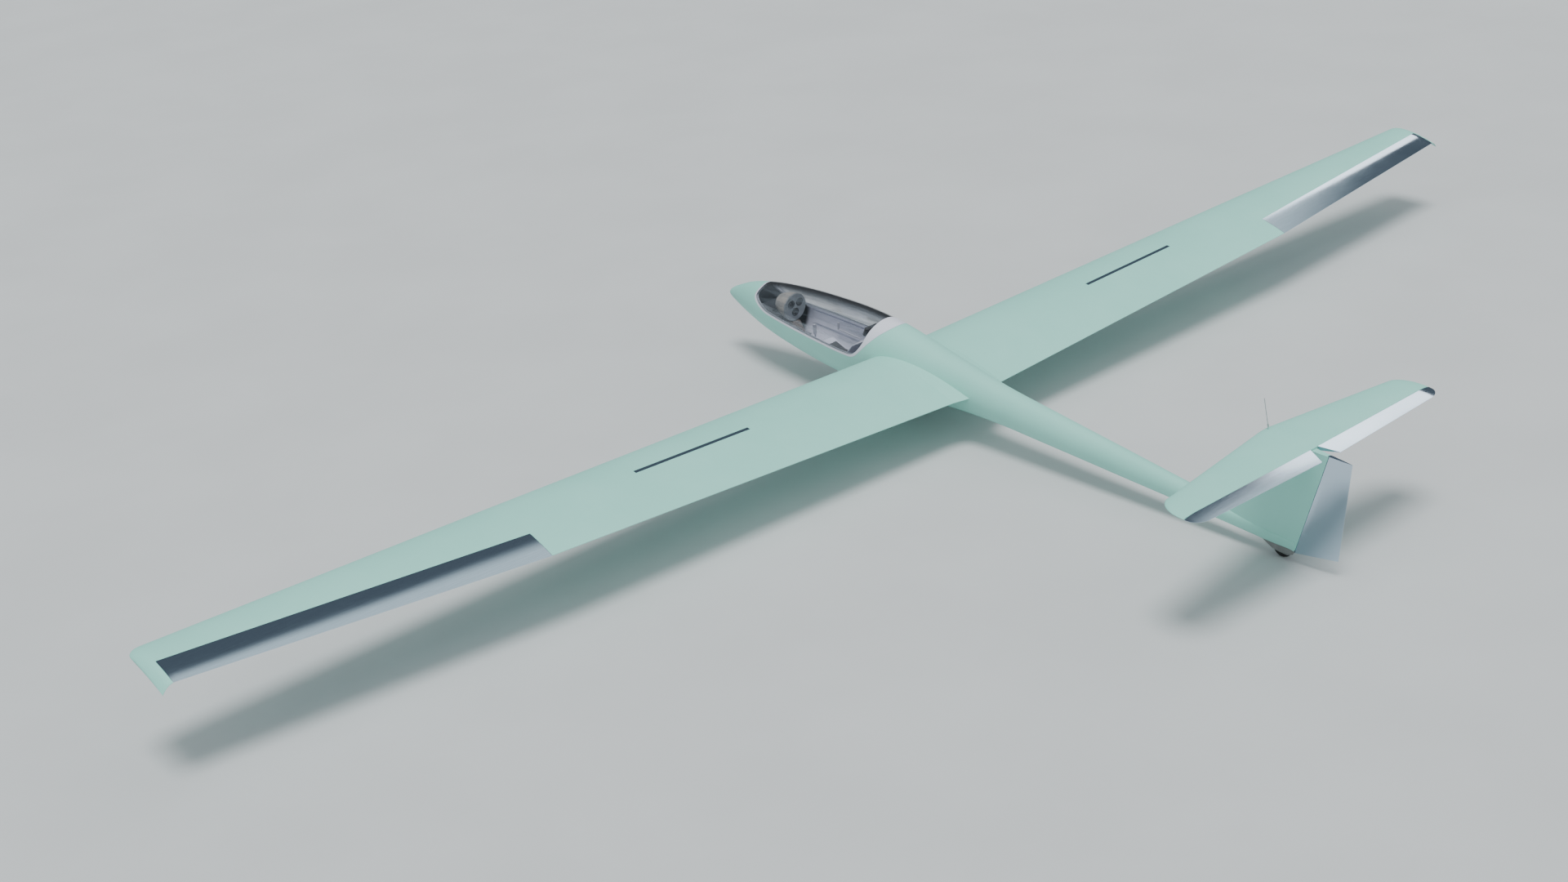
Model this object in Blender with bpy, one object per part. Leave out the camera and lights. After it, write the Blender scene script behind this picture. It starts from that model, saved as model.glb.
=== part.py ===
"""A single-seat sailplane of the 15 metre class, in separate pieces with their joints.

Everything is drawn in the aircraft's own datum: x to port, y aft from the tip of the nose, z up
from the tip of the nose. The DATUM empty then sets the whole aircraft down on its two wheels, with
the origin on the ground under the middle of its length. Metres throughout.
"""

import math

import bmesh
import bpy
import numpy as np
from mathutils import Matrix, Quaternion, Vector

# ---- driving dimensions ------------------------------------------------------------------------
LENGTH = 7.132  # nose to the rudder's trailing edge, as it stands on the ground
GAP = 0.0015  # the working gap round covers and doors
TOUCH = 0.0004  # the gap between pieces that bear on each other

# Fuselage: distance aft, top, bottom, half width, squareness of the section (2 is an ellipse).
FUSELAGE_STATIONS = (
    (0.00, 0.000, 0.000, 0.000, 2.0),
    (0.05, 0.063, -0.036, 0.040, 2.0),
    (0.15, 0.121, -0.065, 0.074, 2.0),
    (0.35, 0.213, -0.117, 0.132, 2.0),
    (0.70, 0.310, -0.189, 0.200, 2.0),
    (1.10, 0.374, -0.235, 0.244, 2.0),
    (1.50, 0.414, -0.261, 0.270, 2.0),
    (1.90, 0.435, -0.265, 0.283, 2.0),
    (2.30, 0.424, -0.226, 0.265, 2.0),
    (2.70, 0.378, -0.175, 0.229, 2.0),
    (3.10, 0.324, -0.123, 0.188, 2.0),
    (3.60, 0.261, -0.085, 0.150, 2.0),
    (4.20, 0.219, -0.072, 0.130, 2.0),
    (5.00, 0.168, -0.061, 0.104, 2.0),
    (5.80, 0.114, -0.049, 0.074, 2.2),
    (6.40, 0.072, -0.041, 0.052, 3.0),
    (6.70, 0.055, -0.037, 0.040, 4.0),
)
SKIN_RINGS = (
    0.004, 0.02, 0.05, 0.10, 0.17, 0.26, 0.38, 0.52, 0.70, 0.90, 1.10, 1.30, 1.50, 1.70, 1.90,
    2.10, 2.30, 2.50, 2.70, 2.90, 3.10, 3.35, 3.60, 4.20, 5.00, 5.80, 6.20, 6.45, 6.697,
)
SKIN_WALL = 0.010
RING_POINTS = 28
HOLLOW_POINTS = 20

# Canopy, as side outlines (distance aft, height): the cut-out's edge, and the glass inside its frame.
CANOPY_EDGE = (
    (0.575, 0.50), (0.562, 0.28), (0.535, 0.215), (0.527, 0.172), (0.560, 0.138), (0.630, 0.105),
    (0.710, 0.080), (0.800, 0.068), (1.960, 0.068), (2.040, 0.088), (2.095, 0.140),
    (2.165, 0.226), (2.261, 0.338), (2.345, 0.412), (2.440, 0.50),
)
GLASS_EDGE = (
    (0.600, 0.50), (0.582, 0.28), (0.556, 0.215), (0.550, 0.178), (0.582, 0.152), (0.645, 0.122),
    (0.720, 0.100), (0.800, 0.090), (1.950, 0.090), (2.020, 0.108), (2.080, 0.160),
    (2.130, 0.243), (2.148, 0.339), (2.171, 0.408), (2.200, 0.50),
)
CANOPY_FRAME_DEPTH = 0.028
GLASS_THICKNESS = 0.005
CANOPY_HINGE = (-0.296, 0.060)  # x and z of its fore-and-aft line
CANOPY_HINGES_Y = (1.20, 1.86)

# Wing: span stations from the centre line. Leading edge, trailing edge and thickness ratio.
WING_STATIONS = (
    (0.30, 2.270, 3.320, 0.155),
    (4.476, 2.374, 3.230, 0.145),
    (7.35, 2.445, 2.980, 0.130),
)
HALF_SPAN = 7.50
WING_ROOT = 0.300
WING_TE_HEIGHT = 0.096
DIHEDRAL = 0.041
INCIDENCE = 0.035
CAMBER = 0.028
TIP_STARTS = 7.40
TIP_DROOP = 0.070
AILERON_INNER, AILERON_OUTER = 4.476, 7.410
AILERON_HINGE_FRACTION = (0.675, 0.545)  # of the chord, at its two ends
AIRBRAKE_X = (2.103, 3.297)
AIRBRAKE_Y = (2.705, 2.742)
AIRBRAKE_CAP = 0.009  # from the upper skin down to the cap strip's underside
AIRBRAKE_BLADE = 0.088
AIRBRAKE_BOX = 0.093
SPAR_Y = {1: (2.560, 2.608), -1: (2.614, 2.662)}
SPAR_END = 6.60
SPAR_STUB = 0.175  # how far each spar passes the centre line
SPAR_SLOT = (0.084, 0.206)
WING_SKIN = 0.005

# Tail.
STAB_HEIGHT = 0.862
STAB_HALF_SPAN = 1.505
STAB_ROOT_LE, STAB_SWEEP = 6.295, 0.132
STAB_ROOT_TE, STAB_TE_SWEEP = 6.913, -0.032
STAB_HINGE_ROOT, STAB_HINGE_SWEEP = 6.755, -0.0087
STAB_THICKNESS = 0.10
ELEVATOR_NOTCH = ((0.046, 6.757), (0.131, 6.95))  # the inboard edge, which clears the fin
FIN_TOP = 0.866
FIN_BOTTOM = -0.0196
RUDDER_HINGE = ((6.703, -0.041), (6.905, 0.859))
RUDDER_NOSE = 0.0255

# Wheels and landing gear.
MAIN_AXLE = (2.300, -0.255)
MAIN_RADIUS, MAIN_WIDTH = 0.150, 0.100
TAIL_AXLE = (6.575, -0.044)
TAIL_RADIUS, TAIL_WIDTH = 0.089, 0.046
GEAR_PIVOT = (2.620, -0.100)
BAY_HALF_WIDTH = 0.105
BAY_Y = (2.085, 2.515)
DOOR_SWING = 100.0
DOOR_SKIN = 0.006
DOOR_AXIS_INSET = 0.001  # the hinge line lies just inside the edge of the bay
DOOR_AXIS_DEPTH = 0.002
DOOR_HALF_GAP = 0.0008  # each side of the join between the two doors
DOOR_HINGE_GAP = 0.004  # lets the bulged edge swing past the shell
DOOR_FRONT_GAP = 0.003
DOOR_REAR_GAP = 0.0045

# Cockpit.
SEAT_LINE = (
    (1.280, -0.120), (1.36, -0.140), (1.52, -0.178), (1.66, -0.185), (1.76, -0.155), (1.83, -0.070),
    (1.89, 0.020), (1.95, 0.110), (1.985, 0.165),
)
PANEL = (0.940, 0.137, 0.135)  # distance aft, height of the centre, radius
STICK_PIVOT = (1.235, -0.1855)
PEDAL_X, PEDAL_Y, PEDAL_PIVOT_Z = 0.060, 0.640, -0.105

# ---- finishes ----------------------------------------------------------------------------------
FINISHES = {
    "mint_paint": ((0.48, 0.66, 0.61, 1), 0.25, 0.0),
    "polished_metal": ((0.62, 0.70, 0.78, 1), 0.12, 1.0),
    "frame_white": ((0.72, 0.74, 0.80, 1), 0.35, 0.0),
    "clear": ((0.60, 0.70, 0.74, 0.3), 0.05, 0.0),
    "shell_white": ((0.70, 0.71, 0.74, 1), 0.45, 0.0),
    "dark_cover": ((0.03, 0.03, 0.035, 1), 0.60, 0.0),
    "cushion_grey": ((0.07, 0.07, 0.08, 1), 0.90, 0.0),
    "pedestal_brown": ((0.22, 0.17, 0.14, 1), 0.55, 0.0),
    "instrument_grey": ((0.30, 0.32, 0.33, 1), 0.40, 0.2),
    "tyre": ((0.015, 0.015, 0.015, 1), 0.85, 0.0),
    "fairing_grey": ((0.25, 0.25, 0.25, 1), 0.50, 0.0),
    "steel": ((0.45, 0.46, 0.48, 1), 0.30, 1.0),
    "carbon": ((0.04, 0.04, 0.045, 1), 0.40, 0.0),
    "lever_grey": ((0.50, 0.50, 0.55, 1), 0.45, 0.0),
    "yellow_knob": ((0.80, 0.55, 0.03, 1), 0.40, 0.0),
}


def ground_attitude():
    """The nose-up angle at which both wheels touch, and the height of the nose tip above the ground."""
    run = TAIL_AXLE[0] - MAIN_AXLE[0]
    rise = TAIL_AXLE[1] - MAIN_AXLE[1]
    angle = math.asin((MAIN_RADIUS - TAIL_RADIUS) / math.hypot(run, rise)) + math.atan(rise / run)
    low = MAIN_AXLE[1] * math.cos(angle) - MAIN_AXLE[0] * math.sin(angle) - MAIN_RADIUS
    return angle, -low


ATTITUDE, NOSE_HEIGHT = ground_attitude()

for old in list(bpy.data.objects):
    bpy.data.objects.remove(old)

scene_root = bpy.context.scene.collection
cutters = bpy.data.collections.new("cutters")
cutters.hide_render = True
scene_root.children.link(cutters)

DATUM = bpy.data.objects.new("datum", None)
DATUM.location = (0.0, -LENGTH / 2, NOSE_HEIGHT)
DATUM.rotation_euler = (-ATTITUDE, 0.0, 0.0)
scene_root.objects.link(DATUM)


# ---- building helpers --------------------------------------------------------------------------
def material(name):
    """The Principled material of one of the FINISHES, made once."""
    made = bpy.data.materials.get(name)
    if made:
        return made
    colour, roughness, metallic = FINISHES[name]
    made = bpy.data.materials.new(name)
    made.use_nodes = True
    shader = made.node_tree.nodes["Principled BSDF"]
    shader.inputs["Base Color"].default_value = colour
    shader.inputs["Roughness"].default_value = roughness
    shader.inputs["Metallic"].default_value = metallic
    shader.inputs["Alpha"].default_value = colour[3]
    return made


def pivot(name, point, axis=None, degrees=0.0):
    """An empty on a joint's axis. A turn given here is the rest position of what it carries."""
    empty = bpy.data.objects.new(name + "_pivot", None)
    scene_root.objects.link(empty)
    empty.parent = DATUM
    empty.location = point
    if axis:
        empty.rotation_mode = "QUATERNION"
        empty.rotation_quaternion = Quaternion(Vector(axis).normalized(), math.radians(degrees))
    return empty


def attach(obj, parent):
    """Parents an object whose mesh is drawn in the datum, so that only a pivot's own turn moves it."""
    obj.parent = parent
    if parent is not DATUM:
        obj.matrix_parent_inverse = Matrix.Translation(parent.location).inverted()


def finish_mesh(name, bm, look=None, parent=None, cutter=False):
    """Turns a bmesh into a named object: a node with a look, or a hidden cutter."""
    bmesh.ops.recalc_face_normals(bm, faces=bm.faces)
    mesh = bpy.data.meshes.new(name)
    bm.to_mesh(mesh)
    bm.free()
    obj = bpy.data.objects.new(name, mesh)
    if cutter:
        cutters.objects.link(obj)
        obj.hide_render = True
        obj.display_type = "WIRE"
    else:
        scene_root.objects.link(obj)
        obj.data.materials.append(material(look))
        mesh.shade_smooth()
        mesh.set_sharp_from_angle(angle=math.radians(35))
    attach(obj, parent or DATUM)
    return obj


def boolean(obj, tool, operation="DIFFERENCE"):
    """Adds an exact Boolean, and hides its tool."""
    modifier = obj.modifiers.new(operation.lower(), "BOOLEAN")
    modifier.operation = operation
    modifier.solver = "EXACT"
    modifier.object = tool
    tool.hide_render = True
    tool.display_type = "WIRE"
    return obj


def loft(name, rings, **kwargs):
    """A closed solid through rings that all have the same number of points."""
    bm = bmesh.new()
    loops = [[bm.verts.new(p) for p in ring] for ring in rings]
    for a, b in zip(loops, loops[1:]):
        for i in range(len(a)):
            j = (i + 1) % len(a)
            bm.faces.new((a[i], a[j], b[j], b[i]))
    bm.faces.new(loops[0])
    bm.faces.new(loops[-1])
    return finish_mesh(name, bm, **kwargs)


def turned(name, centre, profile, steps, phase=0.0, **kwargs):
    """A ring turned about the x axis through centre, from a closed profile of (x, radius) points."""
    bm = bmesh.new()
    loops = []
    for k in range(steps):
        a = phase + 2 * math.pi * k / steps
        loops.append([
            bm.verts.new((centre[0] + x, centre[1] + r * math.sin(a), centre[2] - r * math.cos(a)))
            for x, r in profile
        ])
    for k in range(steps):
        a, b = loops[k], loops[(k + 1) % steps]
        for i in range(len(profile)):
            j = (i + 1) % len(profile)
            bm.faces.new((a[i], a[j], b[j], b[i]))
    return finish_mesh(name, bm, **kwargs)


def cylinder(name, start, end, radius, steps=14, end_radius=None, **kwargs):
    """A rod or a cone between two points."""
    start, end = Vector(start), Vector(end)
    along = (end - start).normalized()
    side = along.orthogonal().normalized()
    other = along.cross(side)
    rings = []
    for centre, r in ((start, radius), (end, end_radius or radius)):
        rings.append([
            centre + r * (math.cos(2 * math.pi * k / steps) * side
                          + math.sin(2 * math.pi * k / steps) * other)
            for k in range(steps)
        ])
    return loft(name, rings, **kwargs)


def box(name, low, high, bevel=0.0, **kwargs):
    """A block between two corners, with bevelled edges if asked."""
    bm = bmesh.new()
    bmesh.ops.create_cube(bm, size=1.0)
    low, high = Vector(low), Vector(high)
    for v in bm.verts:
        v.co = Vector((lo + (c + 0.5) * (hi - lo)) for lo, hi, c in zip(low, high, v.co))
    if bevel:
        bmesh.ops.bevel(bm, geom=bm.edges[:], offset=bevel, segments=1, affect="EDGES")
    return finish_mesh(name, bm, **kwargs)


def prism(name, outline, x0, x1, **kwargs):
    """A side outline of (y, z) points, extruded across from x0 to x1."""
    return loft(name, [[(x, y, z) for y, z in outline] for x in (x0, x1)], **kwargs)


def band(line, thickness, lift=0.0):
    """The closed outline of a strip along a side line, from lift to lift + thickness above it."""
    points = [Vector(p) for p in line]
    normals = []
    for i, _ in enumerate(points):
        along = points[min(i + 1, len(points) - 1)] - points[max(i - 1, 0)]
        normals.append(Vector((-along.y, along.x)).normalized())
    low = [p + n * lift for p, n in zip(points, normals)]
    high = [p + n * (lift + thickness) for p, n in zip(points, normals)]
    return [tuple(p) for p in low] + [tuple(p) for p in reversed(high)]


def stretch_of(line, y0, y1):
    """The part of a side line between two distances aft, with its ends cut to them."""
    ys = [p[0] for p in line]
    zs = [p[1] for p in line]
    inner = [p for p in line if y0 < p[0] < y1]
    return [(y0, float(np.interp(y0, ys, zs))), *inner, (y1, float(np.interp(y1, ys, zs)))]


# ---- fuselage ----------------------------------------------------------------------------------
def section_sizes(y):
    """Top, bottom, half width and squareness at a distance aft, on smooth curves through the stations.

    The curves run over the square root of the distance, which rounds the nose."""
    table = np.array(FUSELAGE_STATIONS)
    knots = np.sqrt(table[:, 0])
    values = table[:, 1:]
    slopes = np.gradient(values, knots, axis=0)
    s = math.sqrt(y)
    i = int(np.clip(np.searchsorted(knots, s) - 1, 0, len(knots) - 2))
    h = knots[i + 1] - knots[i]
    t = (s - knots[i]) / h
    return (
        (2 * t**3 - 3 * t**2 + 1) * values[i] + (t**3 - 2 * t**2 + t) * h * slopes[i]
        + (3 * t**2 - 2 * t**3) * values[i + 1] + (t**3 - t**2) * h * slopes[i + 1]
    )


def fuselage_ring(y, inset, count):
    top, bottom, half, square = section_sizes(y)
    centre, tall, wide = (top + bottom) / 2, (top - bottom) / 2 - inset, half - inset
    ring = []
    for k in range(count):
        c, s = math.cos(2 * math.pi * k / count), math.sin(2 * math.pi * k / count)
        x = wide * math.copysign(abs(c) ** (2 / square), c)
        ring.append((x, y, centre + tall * math.copysign(abs(s) ** (2 / square), s)))
    return ring


def fuselage_solid(name, inset, y0, y1, count=RING_POINTS, **kwargs):
    """The fuselage's own shape, set in from the skin by inset, between two distances aft."""
    ys = [y0, *[y for y in SKIN_RINGS if y0 + 0.01 < y < y1 - 0.01], y1]
    return loft(name, [fuselage_ring(y, inset, count) for y in ys], **kwargs)


def height_of_skin(x, y):
    """The height of the belly at a place off the centre line."""
    top, bottom, half, _ = section_sizes(y)
    return (top + bottom) / 2 - (top - bottom) / 2 * math.sqrt(1 - (x / half) ** 2)


def fuselage():
    shell = fuselage_solid("fuselage_shell", 0.0, SKIN_RINGS[0], SKIN_RINGS[-1],
                           look="mint_paint")
    boolean(shell, fuselage_solid("hollow", SKIN_WALL, 0.12, 6.30, count=HOLLOW_POINTS, cutter=True))
    boolean(shell, prism("canopy_opening", CANOPY_EDGE, -0.6, 0.6, cutter=True))
    boolean(shell, box("belly_opening", (-BAY_HALF_WIDTH, BAY_Y[0], -0.5),
                       (BAY_HALF_WIDTH, BAY_Y[1], 0.0), cutter=True))
    boolean(shell, spar_slot("spar_slot"))
    boolean(shell, tail_well("tail_well"))
    boolean(shell, rudder_room("shell_rudder_room"))
    boolean(shell, box("hook_opening", (-0.022, 1.925, -0.4), (0.022, 2.015, -0.1), cutter=True))


def spar_slot(name):
    """The way through for both spar stubs."""
    low, high = SPAR_SLOT
    return box(name, (-0.5, SPAR_Y[1][0] - 0.006, low), (0.5, SPAR_Y[-1][1] + 0.006, high),
               cutter=True)


def tail_well(name):
    """Room for the tail wheel in the end of the boom and in its fairing."""
    clear = TAIL_RADIUS + 0.005
    y, z = TAIL_AXLE
    half = TAIL_WIDTH / 2 + 0.004
    return box(name, (-half, y - clear, -0.3), (half, y + clear, z + clear), cutter=True)


def tail_fairing():
    """The grey shoe under the end of the boom that houses the tail wheel."""
    shape = ((6.400, 0.030, -0.046), (6.440, 0.036, -0.062), (6.500, 0.040, -0.084),
             (6.560, 0.041, -0.090), (6.640, 0.041, -0.088), (6.685, 0.038, -0.066),
             (6.699, 0.034, -0.048))
    rings = []
    for y, half, low in shape:
        rings.append([(-half, y, -0.020), (half, y, -0.020), (half, y, low + 0.014),
                      (half * 0.72, y, low), (-half * 0.72, y, low), (-half, y, low + 0.014)])
    shoe = loft("tail_wheel_fairing", rings, look="fairing_grey")
    boolean(shoe, fuselage_solid("boom_end", -TOUCH, 6.20, 6.697, cutter=True))
    boolean(shoe, tail_well("fairing_well"))
    boolean(shoe, rudder_room("fairing_rudder_room"))


def canopy():
    hinge = (CANOPY_HINGE[0], 1.5, CANOPY_HINGE[1])
    moving = pivot("canopy", hinge)
    clear = grown(CANOPY_EDGE, -GAP)
    frame = fuselage_solid("canopy_frame", 0.0, 0.38, 2.50, look="frame_white", parent=moving)
    boolean(frame, fuselage_solid("frame_hollow", CANOPY_FRAME_DEPTH, 0.30, 2.60, count=HOLLOW_POINTS,
                                  cutter=True, parent=moving))
    boolean(frame, prism("frame_outline", clear, -0.6, 0.6, cutter=True, parent=moving), "INTERSECT")
    boolean(frame, prism("frame_window", GLASS_EDGE, -0.7, 0.7, cutter=True, parent=moving))
    glass = fuselage_solid("canopy_glass", 0.0, 0.40, 2.40, look="clear", parent=moving)
    boolean(glass, fuselage_solid("glass_hollow", GLASS_THICKNESS, 0.30, 2.50, count=RING_POINTS,
                                  cutter=True, parent=moving))
    boolean(glass, prism("glass_outline", grown(GLASS_EDGE, -TOUCH), -0.6, 0.6, cutter=True,
                         parent=moving), "INTERSECT")
    latch_pivot = (0.214, 1.400, 0.086)
    latch = pivot("canopy_latch", latch_pivot)
    lever = cylinder("canopy_latch_handle", (0.206, 1.400, 0.086), (0.224, 1.400, 0.086), 0.009,
                     look="lever_grey", parent=latch)
    boolean(lever, box("latch_arm", (0.208, 1.320, 0.081), (0.216, 1.402, 0.091), cutter=True,
                       parent=latch), "UNION")
    for name, y in zip(("canopy_hinge_front", "canopy_hinge_rear"), CANOPY_HINGES_Y):
        x, z = CANOPY_HINGE
        barrel = cylinder(name, (x, y - 0.03, z), (x, y + 0.03, z), 0.005, look="steel")
        skin = -section_sizes(y)[2] * 0.994
        boolean(barrel, box(name + "_lug", (x - 0.004, y - 0.02, z - 0.012),
                            (skin + 0.004, y + 0.02, z - 0.003), cutter=True), "UNION")
        boolean(barrel, fuselage_solid(name + "_bed", -TOUCH, 0.9, 2.2, cutter=True))


def grown(outline, by):
    """A side outline moved outwards by a distance, or inwards if it is negative."""
    points = [Vector(p) for p in outline]
    count = len(points)
    area = sum(points[i].cross(points[(i + 1) % count]) for i in range(count))
    out = []
    for i in range(count):
        along = points[(i + 1) % count] - points[i - 1]
        normal = Vector((along.y, -along.x)).normalized() * math.copysign(1.0, area)
        out.append(tuple(points[i] + normal * by))
    return out


# ---- wings -------------------------------------------------------------------------------------
def wing_plan(x):
    """Leading edge, trailing edge, thickness ratio and the aileron hinge's share of the chord."""
    table = np.array(WING_STATIONS)
    slope = (x - table[-2][0]) / (table[-1][0] - table[-2][0])
    beyond = table[-2] + (table[-1] - table[-2]) * slope
    values = beyond if x > table[-1][0] else [np.interp(x, table[:, 0], c) for c in table.T]
    share = np.interp(x, (AILERON_INNER, AILERON_OUTER), AILERON_HINGE_FRACTION)
    return float(values[1]), float(values[2]), float(values[3]), float(share)


def half_thickness(f):
    """The usual four-digit thickness form for a thickness ratio of 1, at a share of the chord."""
    return 5 * (0.2969 * math.sqrt(f) - 0.126 * f - 0.3516 * f**2 + 0.2843 * f**3 - 0.1015 * f**4)


def chord_shares(hinge, front=8, rear=3):
    """Places along the chord, close together at the nose, with one on the hinge line."""
    first = [hinge * (1 - math.cos(math.pi * k / 2 / front)) for k in range(front + 1)]
    return first + [hinge + (1 - hinge) * k / rear for k in range(1, rear + 1)]


def wing_point(x, f, upper, grow=0.0):
    """A point of the wing's surface. grow moves the surface outwards, or inwards if negative."""
    le, te, ratio, _ = wing_plan(x)
    out = max(0.0, (x - TIP_STARTS) / (HALF_SPAN - TIP_STARTS))
    rounding = math.sqrt(max(0.0, 1 - min(out, 1.0) ** 2))
    le += 0.085 * (1 - rounding)
    te += 0.010 * (1 - rounding)
    chord = te - le
    mean = WING_TE_HEIGHT + DIHEDRAL * (x - WING_ROOT) + INCIDENCE * chord * (1 - f)
    mean += CAMBER * chord * (4 * f * (1 - f))
    mean -= TIP_DROOP * f * out**2
    tall = (ratio * half_thickness(f) * (0.18 + 0.82 * rounding)) * chord + 0.0008 + grow
    return (x, le + f * chord, mean + (tall if upper else -tall))


def wing_ring(x, side, shares, grow=0.0):
    upper = [wing_point(x, f, True, grow) for f in reversed(shares)]
    lower = [wing_point(x, f, False, grow) for f in (shares if grow else shares[1:])]
    return [(side * px, py, pz) for px, py, pz in upper + lower]


WING_RINGS = (WING_ROOT, 2.4, AILERON_INNER, 6.0, 7.35, TIP_STARTS, 7.45, 7.48, 7.495, HALF_SPAN)


def wing_solid(name, side, **kwargs):
    rings = [wing_ring(x, side, chord_shares(wing_plan(x)[3])) for x in WING_RINGS]
    return loft(name, rings, **kwargs)


def wing_hollow(name, side):
    """The space between spar webs and skins, open at the root, with the airbrake's box left solid."""
    places = ((WING_ROOT - 0.01, 0.90), (4.38, 0.88), (4.44, 0.62), (5.8, 0.56), (7.10, 0.47))
    rings = []
    for x, last in places:
        shares = [0.07 + (last - 0.07) * k / 6 for k in range(7)]
        rings.append(wing_ring(x, side, shares, grow=-WING_SKIN))
    hollow = loft(name, rings, cutter=True)
    x0, x1 = AIRBRAKE_X
    return boolean(hollow, box(name + "_box", sided(side, x0 - 0.012, AIRBRAKE_Y[0] - 0.010, -0.2),
                               sided(side, x1 + 0.012, AIRBRAKE_Y[1] + 0.010, 0.6), cutter=True))


def sided(side, x, y, z):
    return (side * x, y, z)


def hinge_line(side):
    """The aileron's hinge, on the upper skin: its inner and outer ends."""
    ends = []
    for x in (AILERON_INNER, AILERON_OUTER):
        px, py, pz = wing_point(x, wing_plan(x)[3], True)
        ends.append(Vector((side * px, py, pz)))
    return ends


def aileron_block(name, side, lead, slant, ends):
    """A block behind the aileron's hinge line. lead sets its face ahead, slant slopes it aft below."""
    (inner, outer), faces = hinge_line(side), []
    for x in ends:
        t = (x - AILERON_INNER) / (AILERON_OUTER - AILERON_INNER)
        at = inner.lerp(outer, t)
        y, z = at.y - lead, at.z
        deep, high = 0.16, 0.10
        faces.append([(side * x, y, z + high), (side * x, y + 0.5, z + high),
                      (side * x, y + 0.5, z - deep), (side * x, y + slant * deep, z - deep),
                      (side * x, y, z)])
    return loft(name, faces, cutter=True)


def aileron_hollow(name, side):
    """The space inside an aileron, open at its inner end."""
    rings = []
    for x in (AILERON_INNER - 0.01, 7.30):
        first = wing_plan(x)[3] + 0.060
        shares = [first + (0.93 - first) * k / 4 for k in range(5)]
        rings.append(wing_ring(x, side, shares, grow=-0.0035))
    return loft(name, rings, cutter=True)


def skin_over_airbrake(x):
    """The height of the upper skin over the airbrake's middle line."""
    le, te, _, _ = wing_plan(x)
    return wing_point(x, (sum(AIRBRAKE_Y) / 2 - le) / (te - le), True)[2]


def airbrake_prism(name, side, ends, across, depths, **kwargs):
    """A straight bar along the slot: its ends, its fore and aft faces, its depths below the skin."""
    rings = []
    for x in ends:
        top = skin_over_airbrake(x)
        rings.append([(side * x, across[0], top - depths[0]), (side * x, across[1], top - depths[0]),
                      (side * x, across[1], top - depths[1]), (side * x, across[0], top - depths[1])])
    return loft(name, rings, **kwargs)


def inset(pair, by):
    return pair[0] + by, pair[1] - by


def wing(side, hand):
    shell = wing_solid(f"wing_shell_{hand}", side, look="mint_paint")
    boolean(shell, wing_hollow(f"wing_hollow_{hand}", side))
    boolean(shell, aileron_block(f"aileron_bay_{hand}", side, 0.0008, 0.0,
                                 (AILERON_INNER - 0.003, AILERON_OUTER + 0.003)))
    boolean(shell, airbrake_prism(f"airbrake_slot_{hand}", side, AIRBRAKE_X, AIRBRAKE_Y,
                                  (AIRBRAKE_BOX, -0.05), cutter=True))

    inner, outer = hinge_line(side)
    flap = wing_solid(f"aileron_{hand}", side, look="polished_metal",
                      parent=pivot(f"aileron_{hand}", (inner + outer) / 2))
    boolean(flap, aileron_block(f"aileron_shape_{hand}", side, 0.0, 0.45,
                                (AILERON_INNER, AILERON_OUTER)), "INTERSECT")
    boolean(flap, aileron_hollow(f"aileron_hollow_{hand}", side))
    airbrake(side, hand)
    spar(side, hand)
    root_fairing(side, hand)


def airbrake(side, hand):
    """The cap strip that lies flush in the skin, and the perforated blade under it."""
    middle = sum(AIRBRAKE_Y) / 2
    centre = sum(AIRBRAKE_X) / 2
    moving = pivot(f"airbrake_{hand}", (side * centre, middle, skin_over_airbrake(centre)))
    cap = wing_solid(f"airbrake_cap_{hand}", side, look="polished_metal", parent=moving)
    boolean(cap, airbrake_prism(f"cap_shape_{hand}", side, inset(AIRBRAKE_X, GAP),
                                inset(AIRBRAKE_Y, GAP), (AIRBRAKE_CAP, -0.05), cutter=True,
                                parent=moving), "INTERSECT")
    ends = inset(AIRBRAKE_X, 0.010)
    blade = airbrake_prism(f"airbrake_blade_{hand}", side, ends, (middle - 0.004, middle + 0.004),
                           (AIRBRAKE_BLADE, AIRBRAKE_CAP + TOUCH), look="polished_metal",
                           parent=moving)
    count, radius = 9, 0.015
    holes = bmesh.new()
    for k in range(count):
        x = ends[0] + (ends[1] - ends[0]) * (k + 0.5) / count
        z = skin_over_airbrake(x) - (AIRBRAKE_BLADE + AIRBRAKE_CAP) / 2
        where = Matrix.Translation((side * x, middle, z)) @ Matrix.Rotation(math.pi / 2, 4, "X")
        bmesh.ops.create_cone(holes, cap_ends=True, segments=8, radius1=radius, radius2=radius,
                              depth=0.05, matrix=where)
    boolean(blade, finish_mesh(f"blade_holes_{hand}", holes, cutter=True, parent=moving))


def spar_height(x):
    """The middle of the wing section at the spar."""
    return WING_TE_HEIGHT + 0.052 + DIHEDRAL * (x - WING_ROOT) - 0.0035 * (x - WING_ROOT)


def spar(side, hand):
    y0, y1 = SPAR_Y[side]
    half_at_root, half_at_end = 0.050, 0.020
    rings = []
    for x in (-SPAR_STUB, WING_ROOT, SPAR_END):
        half = float(np.interp(x, (WING_ROOT, SPAR_END), (half_at_root, half_at_end)))
        z = spar_height(x)
        rings.append([(side * x, y0, z - half), (side * x, y1, z - half), (side * x, y1, z + half),
                      (side * x, y0, z + half)])
    beam = loft(f"wing_spar_{hand}", rings, look="carbon")
    boolean(beam, cylinder(f"pin_hole_{hand}", (0, 2.45, PIN_Z), (0, 2.75, PIN_Z), 0.0125,
                           cutter=True))


PIN_Z = WING_TE_HEIGHT + 0.041


def main_pin():
    """The pin that joins the spar stubs behind the seat."""
    pin = cylinder("main_pin", (0, 2.530, PIN_Z), (0, 2.690, PIN_Z), 0.012, look="steel")
    boolean(pin, cylinder("pin_head", (0, 2.510, PIN_Z), (0, 2.532, PIN_Z), 0.018, cutter=True),
            "UNION")


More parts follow.
